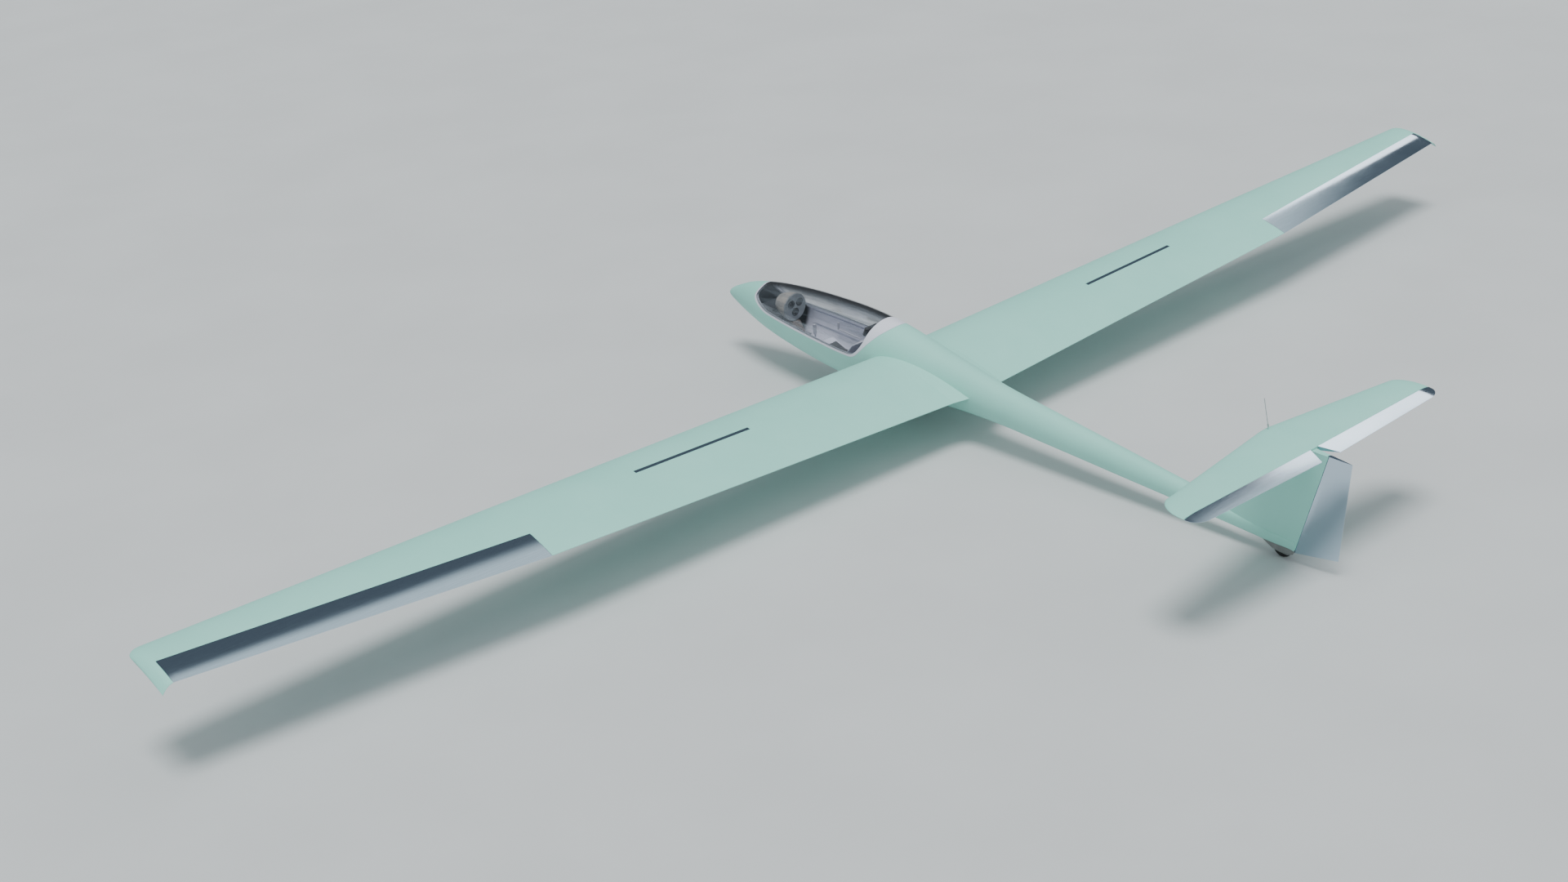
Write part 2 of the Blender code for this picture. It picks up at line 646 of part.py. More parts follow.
def root_fairing(side, hand):
    """The stub of wing section that belongs to the fuselage, out to the joint with the wing."""
    rings = []
    shares = chord_shares(AILERON_HINGE_FRACTION[0])
    for x, longer in ((0.10, 0.10), (0.22, 0.035), (WING_ROOT - TOUCH, 0.0)):
        ring = []
        for px, py, pz in wing_ring(WING_ROOT, side, shares):
            f = (py - 2.27) / 1.05
            shift = -DIHEDRAL * (WING_ROOT - x)
            ring.append((side * x, py + longer * f, pz + shift + 0.4 * longer * f))
        rings.append(ring)
    stub = loft(f"wing_root_fairing_{hand}", rings, look="mint_paint")
    boolean(stub, fuselage_solid(f"fairing_bed_{hand}", -TOUCH, 1.9, 4.3, cutter=True))
    boolean(stub, spar_slot(f"fairing_slot_{hand}"))


# ---- tail --------------------------------------------------------------------------------------
def stab_ring(x, side, grow=0.0):
    """The tailplane's symmetric section at a distance out, rounded in plan towards the tip."""
    le = STAB_ROOT_LE + STAB_SWEEP * x
    te = STAB_ROOT_TE + STAB_TE_SWEEP * x
    out = max(0.0, (x - 1.36) / (STAB_HALF_SPAN - 1.36))
    rounding = math.sqrt(max(0.0, 1 - min(out, 1.0) ** 2))
    le += 0.20 * (1 - rounding)
    te -= 0.10 * (1 - rounding)
    hinge = (STAB_HINGE_ROOT + STAB_HINGE_SWEEP * x - le) / (te - le)
    shares = chord_shares(hinge, front=7, rear=2)
    ratio = STAB_THICKNESS * (0.25 + 0.75 * rounding)
    points = []
    for up, these in ((1, list(reversed(shares))), (-1, shares[1:])):
        for f in these:
            tall = ratio * half_thickness(f) * (te - le) + 0.0008 + grow
            y = le + f * (te - le) + grow * (2 * f - 1)
            points.append((side * x, y, STAB_HEIGHT + up * tall))
    return points


STAB_RINGS = (0.046, 0.131, 1.36, 1.42, 1.465, 1.492, STAB_HALF_SPAN)


def stab_solid(name, grow=0.0, **kwargs):
    left = [stab_ring(x, 1, grow) for x in STAB_RINGS]
    right = [stab_ring(x, -1, grow) for x in STAB_RINGS]
    return loft(name, list(reversed(right)) + left, **kwargs)


def stab_hollow():
    """The space inside the tailplane, open through a hole in its rear web."""
    rings = []
    for x in (-1.34, -0.046, 0.046, 1.34):
        le, te = STAB_ROOT_LE + STAB_SWEEP * abs(x), STAB_ROOT_TE + STAB_TE_SWEEP * abs(x)
        last = (STAB_HINGE_ROOT + STAB_HINGE_SWEEP * abs(x) - le) / (te - le) - 0.04
        ring = []
        for up in (1, -1):
            shares = [0.08 + (last - 0.08) * k / 5 for k in range(6)]
            for f in shares if up > 0 else reversed(shares):
                tall = STAB_THICKNESS * half_thickness(f) * (te - le) - 0.004
                ring.append((x, le + f * (te - le), STAB_HEIGHT + up * tall))
        rings.append(ring)
    hollow = loft("stab_hollow", rings, cutter=True)
    return boolean(hollow, box("stab_web_hole", (-0.030, 6.60, STAB_HEIGHT - 0.009),
                               (0.030, 6.80, STAB_HEIGHT + 0.007), cutter=True), "UNION")


def stab_hinge(x):
    """A point of the elevators' hinge line, on the upper skin."""
    y = STAB_HINGE_ROOT + STAB_HINGE_SWEEP * x
    le, te = STAB_ROOT_LE + STAB_SWEEP * x, STAB_ROOT_TE + STAB_TE_SWEEP * x
    return y, STAB_HEIGHT + STAB_THICKNESS * half_thickness((y - le) / (te - le)) * (te - le)


def behind_stab_hinge(name, lead, slant):
    """Everything aft of the elevators' hinge line."""
    rings = []
    for x in (-1.6, 0.0, 1.6):
        y = STAB_HINGE_ROOT + STAB_HINGE_SWEEP * abs(x) - lead
        z = STAB_HEIGHT + 0.017
        rings.append([(x, y, z + 0.1), (x, y + 0.5, z + 0.1), (x, y + 0.5, z - 0.1),
                      (x, y + 0.1 * slant, z - 0.1), (x, y, z)])
    return loft(name, rings, cutter=True)


def tailplane():
    stab = stab_solid("horizontal_stabiliser", look="mint_paint")
    boolean(stab, behind_stab_hinge("stab_cut", 0.0008, 0.0))
    boolean(stab, stab_hollow())
    for side, hand in ((1, "left"), (-1, "right")):
        (x0, y0), (x1, y1) = ELEVATOR_NOTCH
        y, z = stab_hinge(0.75)
        flap = stab_solid(f"elevator_{hand}", look="polished_metal",
                          parent=pivot(f"elevator_{hand}", (side * 0.75, y, z)))
        boolean(flap, behind_stab_hinge(f"elevator_front_{hand}", 0.0, 0.45), "INTERSECT")
        outline = ((x0, y0 - 0.05), (x0, y0), (x1, y1), (1.8, y1), (1.8, y0 - 0.05))
        rings = [[(side * px, py, z) for px, py in outline] for z in (0.6, 1.1)]
        boolean(flap, loft(f"elevator_notch_{hand}", rings, cutter=True), "INTERSECT")


def rudder_axis(z):
    (y0, z0), (y1, z1) = RUDDER_HINGE
    return y0 + (y1 - y0) * (z - z0) / (z1 - z0)


def fin_le(z):
    return float(np.interp(z, (-0.04, 0.10, 0.86), (5.78, 5.93, 6.33)))


def rudder_te(z):
    return 7.073 + 0.0263 * (z - 0.033)


def fin_half(z, f):
    ratio = float(np.interp(z, (0.0, 0.86), (0.075, 0.090)))
    return ratio * half_thickness(f) * (rudder_te(z) - fin_le(z))


def fin_ring(z):
    """The fin and rudder's section at a height, ahead of the hinge, closed square behind it."""
    le, te, axis = fin_le(z), rudder_te(z), rudder_axis(z)
    hinge = (axis - le) / (te - le)
    shares = [hinge * (1 - math.cos(math.pi * k / 14)) for k in range(8)]
    left = [(fin_half(z, f) + 0.0008, le + f * (te - le), z) for f in shares]
    right = [(-x, y, zz) for x, y, zz in reversed(left[1:])]
    return left + right


def vertical_fin():
    levels = (-0.060, 0.10, 0.48, 0.90)
    fin = loft("vertical_fin", [fin_ring(z) for z in levels], look="mint_paint")
    top_front, top_back = (6.20, FIN_TOP), (rudder_axis(FIN_TOP) - 0.006, FIN_TOP)
    low_back, low_front = (rudder_axis(FIN_BOTTOM) - 0.006, FIN_BOTTOM), (6.42, FIN_BOTTOM)
    outline = (top_front, top_back, low_back, low_front, (5.70, 0.12), (5.70, FIN_TOP))
    boolean(fin, prism("fin_outline", outline, -0.2, 0.2, cutter=True), "INTERSECT")
    boolean(fin, fuselage_solid("fin_bed", -TOUCH, 5.0, 6.6975, cutter=True))
    bed = stab_solid("fin_top_bed", grow=TOUCH, cutter=True)
    boolean(fin, boolean(bed, behind_stab_hinge("fin_bed_end", -TOUCH, 0.0)))
    boolean(fin, rudder_room("fin_rudder_room"))
    boolean(fin, tail_well("fin_well"))
    boolean(fin, fin_hollow())


def fin_hollow():
    """The space inside the fin, open into the boom."""
    rings = []
    for z in (0.0, 0.40, 0.80):
        le, te = fin_le(z), rudder_te(z)
        last = (rudder_axis(z) - le) / (te - le) - 0.075
        shares = [0.10 + (last - 0.10) * k / 5 for k in range(6)]
        side = [(fin_half(z, f) - 0.006, le + f * (te - le), z) for f in shares]
        rings.append(side + [(-x, y, zz) for x, y, zz in reversed(side)])
    return loft("fin_hollow", rings, cutter=True)


def rudder_room(name):
    """The round trough that the rudder's nose turns in."""
    rings = []
    for z in (-0.12, 0.93):
        r = rudder_nose_radius(z) + 0.003
        rings.append([(r * math.cos(2 * math.pi * k / 20), rudder_axis(z) + 1.03 * r
                       * math.sin(2 * math.pi * k / 20), z) for k in range(20)])
    return loft(name, rings, cutter=True)


def rudder_nose_radius(z):
    return float(np.interp(z, (0.0, 0.86), (RUDDER_NOSE, 0.0175)))


def rudder_ring(z):
    """A round nose on the hinge axis, and straight sides to the trailing edge."""
    r, axis, te = rudder_nose_radius(z), rudder_axis(z), rudder_te(z)
    ring = []
    for k in range(9):
        a = math.pi * k / 8
        ring.append((r * math.cos(a), axis - r * math.sin(a), z))
    middle = axis + 0.45 * (te - axis)
    ring += [(-0.62 * r, middle, z), (-0.0012, te, z), (0.0012, te, z), (0.62 * r, middle, z)]
    return ring


def rudder():
    (y0, z0), (y1, z1) = RUDDER_HINGE
    moving = pivot("rudder", (0, (y0 + y1) / 2, (z0 + z1) / 2))
    blade = loft("rudder", [rudder_ring(z) for z in (-0.10, 0.35, 0.868)], look="polished_metal",
                 parent=moving)
    outline = ((6.5, -0.078), (6.703, -0.043), (7.074, 0.031), (7.2, 0.056), (7.2, 1.0), (6.5, 1.0))
    boolean(blade, prism("rudder_outline", outline, -0.2, 0.2, cutter=True, parent=moving),
            "INTERSECT")


def probe():
    """The total-energy probe that stands on the fin, raked forward."""
    foot, tip = Vector((0, 6.335, STAB_HEIGHT + 0.034)), Vector((0, 6.275, 1.120))
    rod = cylinder("total_energy_probe", foot, tip, 0.0032, steps=8, look="frame_white")
    boolean(rod, cylinder("probe_foot", foot, foot.lerp(tip, 0.10), 0.007, steps=10, cutter=True),
            "UNION")


# ---- wheels and landing gear -------------------------------------------------------------------
def tyre_profile(radius, width, bead):
    """A closed section of a tyre: the tread is round and the sidewalls come in to the beads."""
    half = width / 2
    crown = [(half * math.cos(a), radius - half * 0.95 + half * 0.95 * math.sin(a))
             for a in (math.pi * k / 8 for k in range(1, 8))]
    return [(half, radius - half * 0.95), *crown, (-half, radius - half * 0.95),
            (-half * 0.72, bead), (half * 0.72, bead)]


def hub_profile(width, bead, bore):
    """A closed section of a wheel hub with a thin web between rim and boss."""
    half = width * 0.36
    rim = bead - TOUCH
    return [(half, rim), (-half, rim), (-half, rim - 0.008), (-0.008, rim - 0.012),
            (-0.010, bore + 0.014), (-half * 0.8, bore + 0.012), (-half * 0.8, bore),
            (half * 0.8, bore), (half * 0.8, bore + 0.012), (0.010, bore + 0.014),
            (0.008, rim - 0.012), (half, rim - 0.008)]


def wheel(name, axle, radius, width, bead, bore, steps):
    centre = (0.0, *axle)
    moving = pivot(name, centre)
    turned(f"{name}_tyre", centre, tyre_profile(radius, width, bead), steps, phase=-ATTITUDE,
           look="tyre", parent=moving)
    turned(f"{name}_hub", centre, hub_profile(width, bead, bore), steps, phase=-ATTITUDE,
           look="steel", parent=moving)


def swing_arm():
    """The fork that carries the main wheel and swings up and aft of the belly opening."""
    py, pz = GEAR_PIVOT
    ay, az = MAIN_AXLE
    moving = pivot("gear_arm", (0, py, pz))
    arm = cylinder("gear_swing_arm", (-0.088, py, pz), (0.088, py, pz), 0.017, look="steel",
                   parent=moving)
    along = Vector((ay - py, az - pz)).normalized()
    across = Vector((-along.y, along.x)) * 0.020
    for side in (1, -1):
        start, end = Vector((py, pz)), Vector((ay, az)) + along * 0.022
        outline = [tuple(start + across), tuple(end + across * 0.8), tuple(end - across * 0.8),
                   tuple(start - across)]
        plate = prism(f"arm_plate_{side}", outline, side * 0.060, side * 0.068, cutter=True,
                      parent=moving)
        boolean(arm, plate, "UNION")
    boolean(arm, cylinder("main_axle", (-0.074, ay, az), (0.074, ay, az), 0.0100, steps=16,
                          cutter=True, parent=moving), "UNION")


def gear_frame():
    """The cross frame whose two ears hold the swing arm's pivot tube."""
    py, pz = GEAR_PIVOT
    beam = box("gear_frame", (-0.125, py + 0.034, pz - 0.030), (0.125, py + 0.050, pz + 0.030),
               look="steel")
    for side in (1, -1):
        x0, x1 = sorted((side * 0.090, side * 0.102))
        boolean(beam, box(f"gear_ear_{side}", (x0, py - 0.028, pz - 0.028),
                          (x1, py + 0.040, pz + 0.028), cutter=True), "UNION")
    boolean(beam, fuselage_solid("gear_frame_bed", SKIN_WALL + TOUCH, 1.9, 3.6,
                                 count=HOLLOW_POINTS, cutter=True), "INTERSECT")


def gear_door(side, hand):
    """A belly door, drawn shut and held open by its pivot's turn."""
    x = side * (BAY_HALF_WIDTH - DOOR_AXIS_INSET)
    y0, y1 = BAY_Y
    z0, z1 = (height_of_skin(abs(x), y) - DOOR_AXIS_DEPTH for y in BAY_Y)
    axis = Vector((0, y1 - y0, z1 - z0)).normalized()
    moving = pivot(f"gear_door_{hand}", (x, (y0 + y1) / 2, (z0 + z1) / 2), axis,
                   -side * DOOR_SWING)
    door = fuselage_solid(f"gear_door_{hand}", 0.0, 1.95, 2.65, look="mint_paint", parent=moving)
    boolean(door, fuselage_solid(f"door_hollow_{hand}", DOOR_SKIN, 1.90, 2.70, count=HOLLOW_POINTS,
                                 cutter=True, parent=moving))
    low, high = sorted((side * DOOR_HALF_GAP, side * (BAY_HALF_WIDTH - DOOR_HINGE_GAP)))
    boolean(door, box(f"door_outline_{hand}", (low, y0 + DOOR_FRONT_GAP, -0.4),
                      (high, y1 - DOOR_REAR_GAP, 0.0), cutter=True, parent=moving), "INTERSECT")


def landing_gear():
    wheel("main_wheel", MAIN_AXLE, MAIN_RADIUS, MAIN_WIDTH, 0.082, 0.0105, 24)
    wheel("tail_wheel", TAIL_AXLE, TAIL_RADIUS, TAIL_WIDTH, 0.048, 0.0065, 18)
    y, z = TAIL_AXLE
    half = TAIL_WIDTH / 2 + 0.0035
    cylinder("tail_axle", (-half, y, z), (half, y, z), 0.0060, look="steel")
    swing_arm()
    gear_frame()
    gear_door(1, "left")
    gear_door(-1, "right")


def tow_hook():
    """The release hook in the belly, ahead of the wheel."""
    body = box("tow_hook", (-0.018, 1.935, -0.285), (0.018, 2.005, -0.215), bevel=0.004,
               look="steel")
    boolean(body, cylinder("hook_ring", (-0.05, 1.962, -0.272), (0.05, 1.962, -0.272), 0.007,
                           cutter=True))


# ---- cockpit -----------------------------------------------------------------------------------
def fitted(name, outline, inset, x0=-0.6, x1=0.6, **kwargs):
    """A side outline taken across the fuselage and trimmed to its inner surface."""
    piece = prism(name, outline, x0, x1, **kwargs)
    return boolean(piece, fuselage_solid(name + "_trim", inset, 0.3, 3.6, count=HOLLOW_POINTS,
                                         cutter=True), "INTERSECT")


def seat():
    fitted("seat_shell", band(SEAT_LINE, 0.008), SKIN_WALL + 0.020, look="shell_white")
    cushion = stretch_of(SEAT_LINE, 1.375, 1.700)
    box_width = 0.112
    prism("seat_cushion", band(cushion, 0.060, 0.0090), -box_width, box_width,
          look="cushion_grey")
    back = stretch_of(SEAT_LINE, 1.800, 1.960)
    prism("back_cushion", band(back, 0.034, 0.0095), -0.150, 0.150, look="shell_white")
    prism("headrest", band(((1.975, 0.190), (2.020, 0.290)), 0.040), -0.085, 0.085,
          look="cushion_grey")


def bulkheads():
    front = ((2.050, -0.30), (2.058, -0.30), (2.058, 0.062), (2.050, 0.062))
    plate = fitted("main_bulkhead", front, SKIN_WALL + TOUCH, look="shell_white")
    boolean(plate, box("pushrod_hole", (-0.045, 2.0, -0.14), (0.045, 2.1, -0.08), cutter=True))
    shelf = ((2.105, 0.132), (2.470, 0.205), (2.470, 0.211), (2.105, 0.138))
    fitted("rear_shelf", shelf, CANOPY_FRAME_DEPTH + 0.004, look="shell_white")
    floor = ((0.500, -0.148), (1.190, -0.2015), (1.264, -0.2015), (1.264, -0.2075),
             (1.190, -0.2075), (0.500, -0.154))
    fitted("cockpit_floor", floor, SKIN_WALL + TOUCH, look="shell_white")


def instruments():
    y, z, r = PANEL
    count = 24
    ring = [(r * math.cos(2 * math.pi * k / count), r * math.sin(2 * math.pi * k / count))
            for k in range(count)]
    plate = loft("instrument_panel", [[(px, py, z + pz) for px, pz in ring]
                                      for py in (y - 0.006, y + 0.006)], look="instrument_grey")
    gauges = (("airspeed_indicator", -0.052, 0.045, 0.040), ("altimeter", 0.052, 0.045, 0.040),
              ("variometer", 0.0, -0.045, 0.040))
    for name, gx, gz, gr in gauges:
        cylinder(name, (gx, y - 0.070, z + gz), (gx, y + 0.010, z + gz), gr, steps=20,
                 look="instrument_grey")
        boolean(plate, cylinder(name + "_hole", (gx, y - 0.1, z + gz), (gx, y + 0.1, z + gz),
                                gr + TOUCH, steps=20, cutter=True))
    foot = loft("instrument_pedestal",
                [[(-w, y0, h), (w, y0, h), (w, y1, h), (-w, y1, h)]
                 for w, y0, y1, h in ((0.095, 0.850, 1.010, -0.1665), (0.060, 0.885, 0.985, -0.070),
                                      (0.048, 0.900, 0.962, -0.004))], look="pedestal_brown")
    boolean(foot, box("pedestal_floor", (-0.2, 0.7, -0.4), (0.2, 1.2, -0.166), cutter=True))
    cover = ((0.560, 0.072), (0.900, 0.076), (0.900, 0.082), (0.560, 0.078))
    deck = fitted("front_deck", cover, CANOPY_FRAME_DEPTH + 0.004, look="dark_cover")
    boolean(deck, cylinder("deck_panel_notch", (0, 0.74, z), (0, 1.0, z), r + 0.012, steps=24,
                           cutter=True))
    rings = []
    for yy, scale in ((0.760, 0.62), (0.850, 0.90), (y - 0.0065, 1.0)):
        rings.append([(px * scale * 1.02, yy, z + pz * scale * 1.02) for px, pz in ring])
    hood = loft("instrument_hood", rings, look="pedestal_brown")
    hollow = []
    for yy, scale in ((0.766, 0.54), (0.850, 0.84), (y + 0.01, 0.945)):
        hollow.append([(px * scale, yy, z + pz * scale) for px, pz in ring])
    boolean(hood, loft("hood_hollow", hollow, cutter=True))


def side_liners():
    """The pale lining of the cockpit's sides, below the canopy rail."""
    outline = ((0.98, -0.060), (2.030, -0.075), (2.030, 0.050), (0.98, 0.050))
    for side, hand in ((1, "left"), (-1, "right")):
        x0, x1 = sorted((side * 0.14, side * 0.6))
        liner = fitted(f"side_liner_{hand}", outline, SKIN_WALL + TOUCH, x0=x0, x1=x1,
                       look="shell_white")
        boolean(liner, fuselage_solid(f"liner_inner_{hand}", SKIN_WALL + 0.009, 0.3, 3.6,
                                      count=HOLLOW_POINTS, cutter=True))


def hand_levers():
    """The airbrake lever on the port side and the gear lever opposite: a grip on a push tube."""
    for side, name, y, look in ((1, "airbrake_lever", 1.300, "polished_metal"),
                                (-1, "gear_lever", 1.340, "lever_grey")):
        x, z = side * 0.190, -0.020
        moving = pivot(name, (x, y, z))
        grip = cylinder(name, (x, y, z - 0.004), (x, y, z + 0.065), 0.0105, steps=12, look=look,
                        parent=moving)
        boolean(grip, cylinder(name + "_tube", (x, y - 0.010, z), (x, y + 0.300, z), 0.0065,
                               steps=12, cutter=True, parent=moving), "UNION")


def stick():
    """The stick leans on a cross pin in a base that rolls on the floor."""
    y, z = STICK_PIVOT
    base_pivot = pivot("stick_base", (0, y, z))
    base = box("stick_base", (-0.020, y - 0.030, z - 0.010), (0.020, y + 0.030, z + 0.016),
               look="steel", parent=base_pivot)
    boolean(base, box("stick_clearance", (-0.0115, y - 0.05, z - 0.0095),
                      (0.0115, y + 0.05, z + 0.05), cutter=True, parent=base_pivot))
    moving = pivot("control_stick", (0, y, z + 0.006))
    rod = cylinder("control_stick", (0, y, z + 0.001), (0, y - 0.012, z + 0.150), 0.0085,
                   steps=12, look="lever_grey", parent=moving)
    boolean(rod, cylinder("stick_pin", (-0.0108, y, z + 0.008), (0.0108, y, z + 0.008), 0.0055,
                          steps=12, cutter=True, parent=moving), "UNION")
    boolean(rod, cylinder("stick_grip", (0, y - 0.012, z + 0.140), (0, y - 0.021, z + 0.235),
                          0.0150, steps=12, end_radius=0.0175, cutter=True, parent=moving),
            "UNION")


def pedals():
    for side, hand in ((1, "left"), (-1, "right")):
        x = side * PEDAL_X
        moving = pivot(f"rudder_pedal_{hand}", (x, PEDAL_Y, PEDAL_PIVOT_Z))
        plate = box(f"rudder_pedal_{hand}", (x - 0.034, PEDAL_Y - 0.005, PEDAL_PIVOT_Z - 0.006),
                    (x + 0.034, PEDAL_Y + 0.005, PEDAL_PIVOT_Z + 0.125), bevel=0.002,
                    look="steel", parent=moving)
        boolean(plate, cylinder(f"pedal_tube_{hand}", (x - 0.040, PEDAL_Y, PEDAL_PIVOT_Z),
                                (x + 0.040, PEDAL_Y, PEDAL_PIVOT_Z), 0.0085, cutter=True,
                                parent=moving), "UNION")


def knobs():
    """The trim knob slides by the port liner; the tow release is pulled from the pedestal."""
    x, y, z = 0.165, 1.180, -0.060
    moving = pivot("trim_knob", (x, y, z))
    cylinder("trim_knob", (x, y, z - 0.014), (x, y, z + 0.014), 0.0110, steps=12,
             look="dark_cover", parent=moving)
    y, z = 1.0112, -0.110
    moving = pivot("tow_release", (0, y, z))
    stalk = cylinder("tow_release_knob", (0, y, z), (0, y + 0.022, z), 0.0045, steps=12,
                     look="yellow_knob", parent=moving)
    boolean(stalk, cylinder("release_ball", (0, y + 0.018, z), (0, y + 0.040, z), 0.0140,
                            steps=12, end_radius=0.0115, cutter=True, parent=moving), "UNION")


fuselage()
tail_fairing()
canopy()
for wing_side, wing_hand in ((1, "left"), (-1, "right")):
    wing(wing_side, wing_hand)
main_pin()
tailplane()
vertical_fin()
rudder()
probe()
landing_gear()
tow_hook()
seat()
bulkheads()
instruments()
side_liners()
hand_levers()
stick()
pedals()
knobs()
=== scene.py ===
"""The finished look of a single-seat sailplane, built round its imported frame.

Shapes are drawn in the aircraft's datum (x to port, y aft from the nose tip, z up from it) and laid
down on the ground by the same turn as the frame's. Metres throughout.
"""
import math

import bmesh
import bpy
import numpy as np
from mathutils import Matrix, Vector


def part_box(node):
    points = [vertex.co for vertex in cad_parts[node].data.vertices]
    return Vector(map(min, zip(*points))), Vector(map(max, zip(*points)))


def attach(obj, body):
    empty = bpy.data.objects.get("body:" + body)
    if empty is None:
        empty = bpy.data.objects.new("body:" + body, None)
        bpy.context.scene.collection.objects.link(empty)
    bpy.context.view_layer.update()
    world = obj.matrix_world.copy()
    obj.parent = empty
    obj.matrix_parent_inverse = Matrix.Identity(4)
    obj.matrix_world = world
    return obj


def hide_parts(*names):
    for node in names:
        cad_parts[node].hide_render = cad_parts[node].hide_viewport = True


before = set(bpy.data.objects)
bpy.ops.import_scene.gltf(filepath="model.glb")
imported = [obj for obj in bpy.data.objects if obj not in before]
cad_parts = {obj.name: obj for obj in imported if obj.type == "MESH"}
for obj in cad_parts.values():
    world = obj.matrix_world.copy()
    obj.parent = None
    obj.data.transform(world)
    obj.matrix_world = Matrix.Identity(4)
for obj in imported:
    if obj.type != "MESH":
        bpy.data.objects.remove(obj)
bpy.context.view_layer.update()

# ---- sizes, as in the frame --------------------------------------------------------------------
LENGTH = 7.132
GAP, TOUCH = 0.0015, 0.0004
FUSELAGE_STATIONS = (
    (0.00, 0.000, 0.000, 0.000, 2.0), (0.05, 0.063, -0.036, 0.040, 2.0),
    (0.15, 0.121, -0.065, 0.074, 2.0), (0.35, 0.213, -0.117, 0.132, 2.0),
    (0.70, 0.310, -0.189, 0.200, 2.0), (1.10, 0.374, -0.235, 0.244, 2.0),
    (1.50, 0.414, -0.261, 0.270, 2.0), (1.90, 0.435, -0.265, 0.283, 2.0),
    (2.30, 0.424, -0.226, 0.265, 2.0), (2.70, 0.378, -0.175, 0.229, 2.0),
    (3.10, 0.324, -0.123, 0.188, 2.0), (3.60, 0.261, -0.085, 0.150, 2.0),
    (4.20, 0.219, -0.072, 0.130, 2.0), (5.00, 0.168, -0.061, 0.104, 2.0),
    (5.80, 0.114, -0.049, 0.074, 2.2), (6.40, 0.072, -0.041, 0.052, 3.0),
    (6.70, 0.055, -0.037, 0.040, 4.0),
)
SKIN_WALL = 0.010
CANOPY_EDGE = (
    (0.575, 0.50), (0.562, 0.28), (0.535, 0.215), (0.527, 0.172), (0.560, 0.138), (0.630, 0.105),
    (0.710, 0.080), (0.800, 0.068), (1.960, 0.068), (2.040, 0.088), (2.095, 0.140),
    (2.165, 0.226), (2.261, 0.338), (2.345, 0.412), (2.440, 0.50),
)
GLASS_EDGE = (
    (0.600, 0.50), (0.582, 0.28), (0.556, 0.215), (0.550, 0.178), (0.582, 0.152), (0.645, 0.122),
    (0.720, 0.100), (0.800, 0.090), (1.950, 0.090), (2.020, 0.108), (2.080, 0.160),
    (2.130, 0.243), (2.148, 0.339), (2.171, 0.408), (2.200, 0.50),
)
CANOPY_FRAME_DEPTH, GLASS_THICKNESS = 0.028, 0.005
WING_STATIONS = ((0.30, 2.270, 3.320, 0.155), (4.476, 2.374, 3.230, 0.145),
                 (7.35, 2.445, 2.980, 0.130))
HALF_SPAN, WING_ROOT, WING_TE_HEIGHT = 7.50, 0.300, 0.096
DIHEDRAL, INCIDENCE, CAMBER = 0.041, 0.035, 0.028
TIP_STARTS, TIP_DROOP = 7.40, 0.070
AILERON_INNER, AILERON_OUTER = 4.476, 7.410
AILERON_HINGE_FRACTION = (0.675, 0.545)
AIRBRAKE_X, AIRBRAKE_Y = (2.103, 3.297), (2.705, 2.742)
AIRBRAKE_CAP, AIRBRAKE_BOX = 0.009, 0.093
SPAR_SLOT_Y, SPAR_SLOT_Z = (2.554, 2.668), (0.084, 0.206)
STAB_HEIGHT, STAB_HALF_SPAN = 0.862, 1.505
STAB_ROOT_LE, STAB_SWEEP = 6.295, 0.132
STAB_ROOT_TE, STAB_TE_SWEEP = 6.913, -0.032
STAB_HINGE_ROOT, STAB_HINGE_SWEEP = 6.755, -0.0087
STAB_THICKNESS = 0.10
ELEVATOR_NOTCH = ((0.046, 6.757), (0.131, 6.95))
FIN_TOP, FIN_BOTTOM = 0.866, -0.0196
RUDDER_HINGE = ((6.703, -0.041), (6.905, 0.859))
RUDDER_NOSE = 0.0255
MAIN_AXLE, MAIN_RADIUS, MAIN_WIDTH = (2.300, -0.255), 0.150, 0.100
TAIL_AXLE, TAIL_RADIUS, TAIL_WIDTH = (6.575, -0.044), 0.089, 0.046
BAY_HALF_WIDTH, BAY_Y = 0.105, (2.085, 2.515)
PANEL = (0.940, 0.137, 0.135)
ROUND = 112  # points round a fuselage section


def ground_attitude():
    run, rise = TAIL_AXLE[0] - MAIN_AXLE[0], TAIL_AXLE[1] - MAIN_AXLE[1]
    angle = math.asin((MAIN_RADIUS - TAIL_RADIUS) / math.hypot(run, rise)) + math.atan(rise / run)
    low = MAIN_AXLE[1] * math.cos(angle) - MAIN_AXLE[0] * math.sin(angle) - MAIN_RADIUS
    return angle, -low


ATTITUDE, NOSE_HEIGHT = ground_attitude()
STANDING = (Matrix.Translation((0.0, -LENGTH / 2, NOSE_HEIGHT))
            @ Matrix.Rotation(-ATTITUDE, 4, "X"))


# ---- shader maths ------------------------------------------------------------------------------
class Value:
    """A socket in a node tree, with arithmetic."""

    def __init__(self, graph, socket):
        self.graph, self.socket = graph, socket

    def maths(self, operation, *others):
        return self.graph.node("ShaderNodeMath", {"operation": operation}, 0, self, *others)

    def __add__(self, other):
        return self.maths("ADD", other)

    def __mul__(self, other):
        return self.maths("MULTIPLY", other)

    def __sub__(self, other):
        return self.maths("SUBTRACT", other)

    def __rsub__(self, other):
        return self.graph.node("ShaderNodeMath", {"operation": "SUBTRACT"}, 0, other, self)

    __radd__, __rmul__ = __add__, __mul__

    def step(self, low, high):
        """0 below low, 1 above high, smooth between."""
        return self.graph.node("ShaderNodeMapRange", {"interpolation_type": "SMOOTHSTEP"}, 0,
                               self, low, high, 0.0, 1.0)


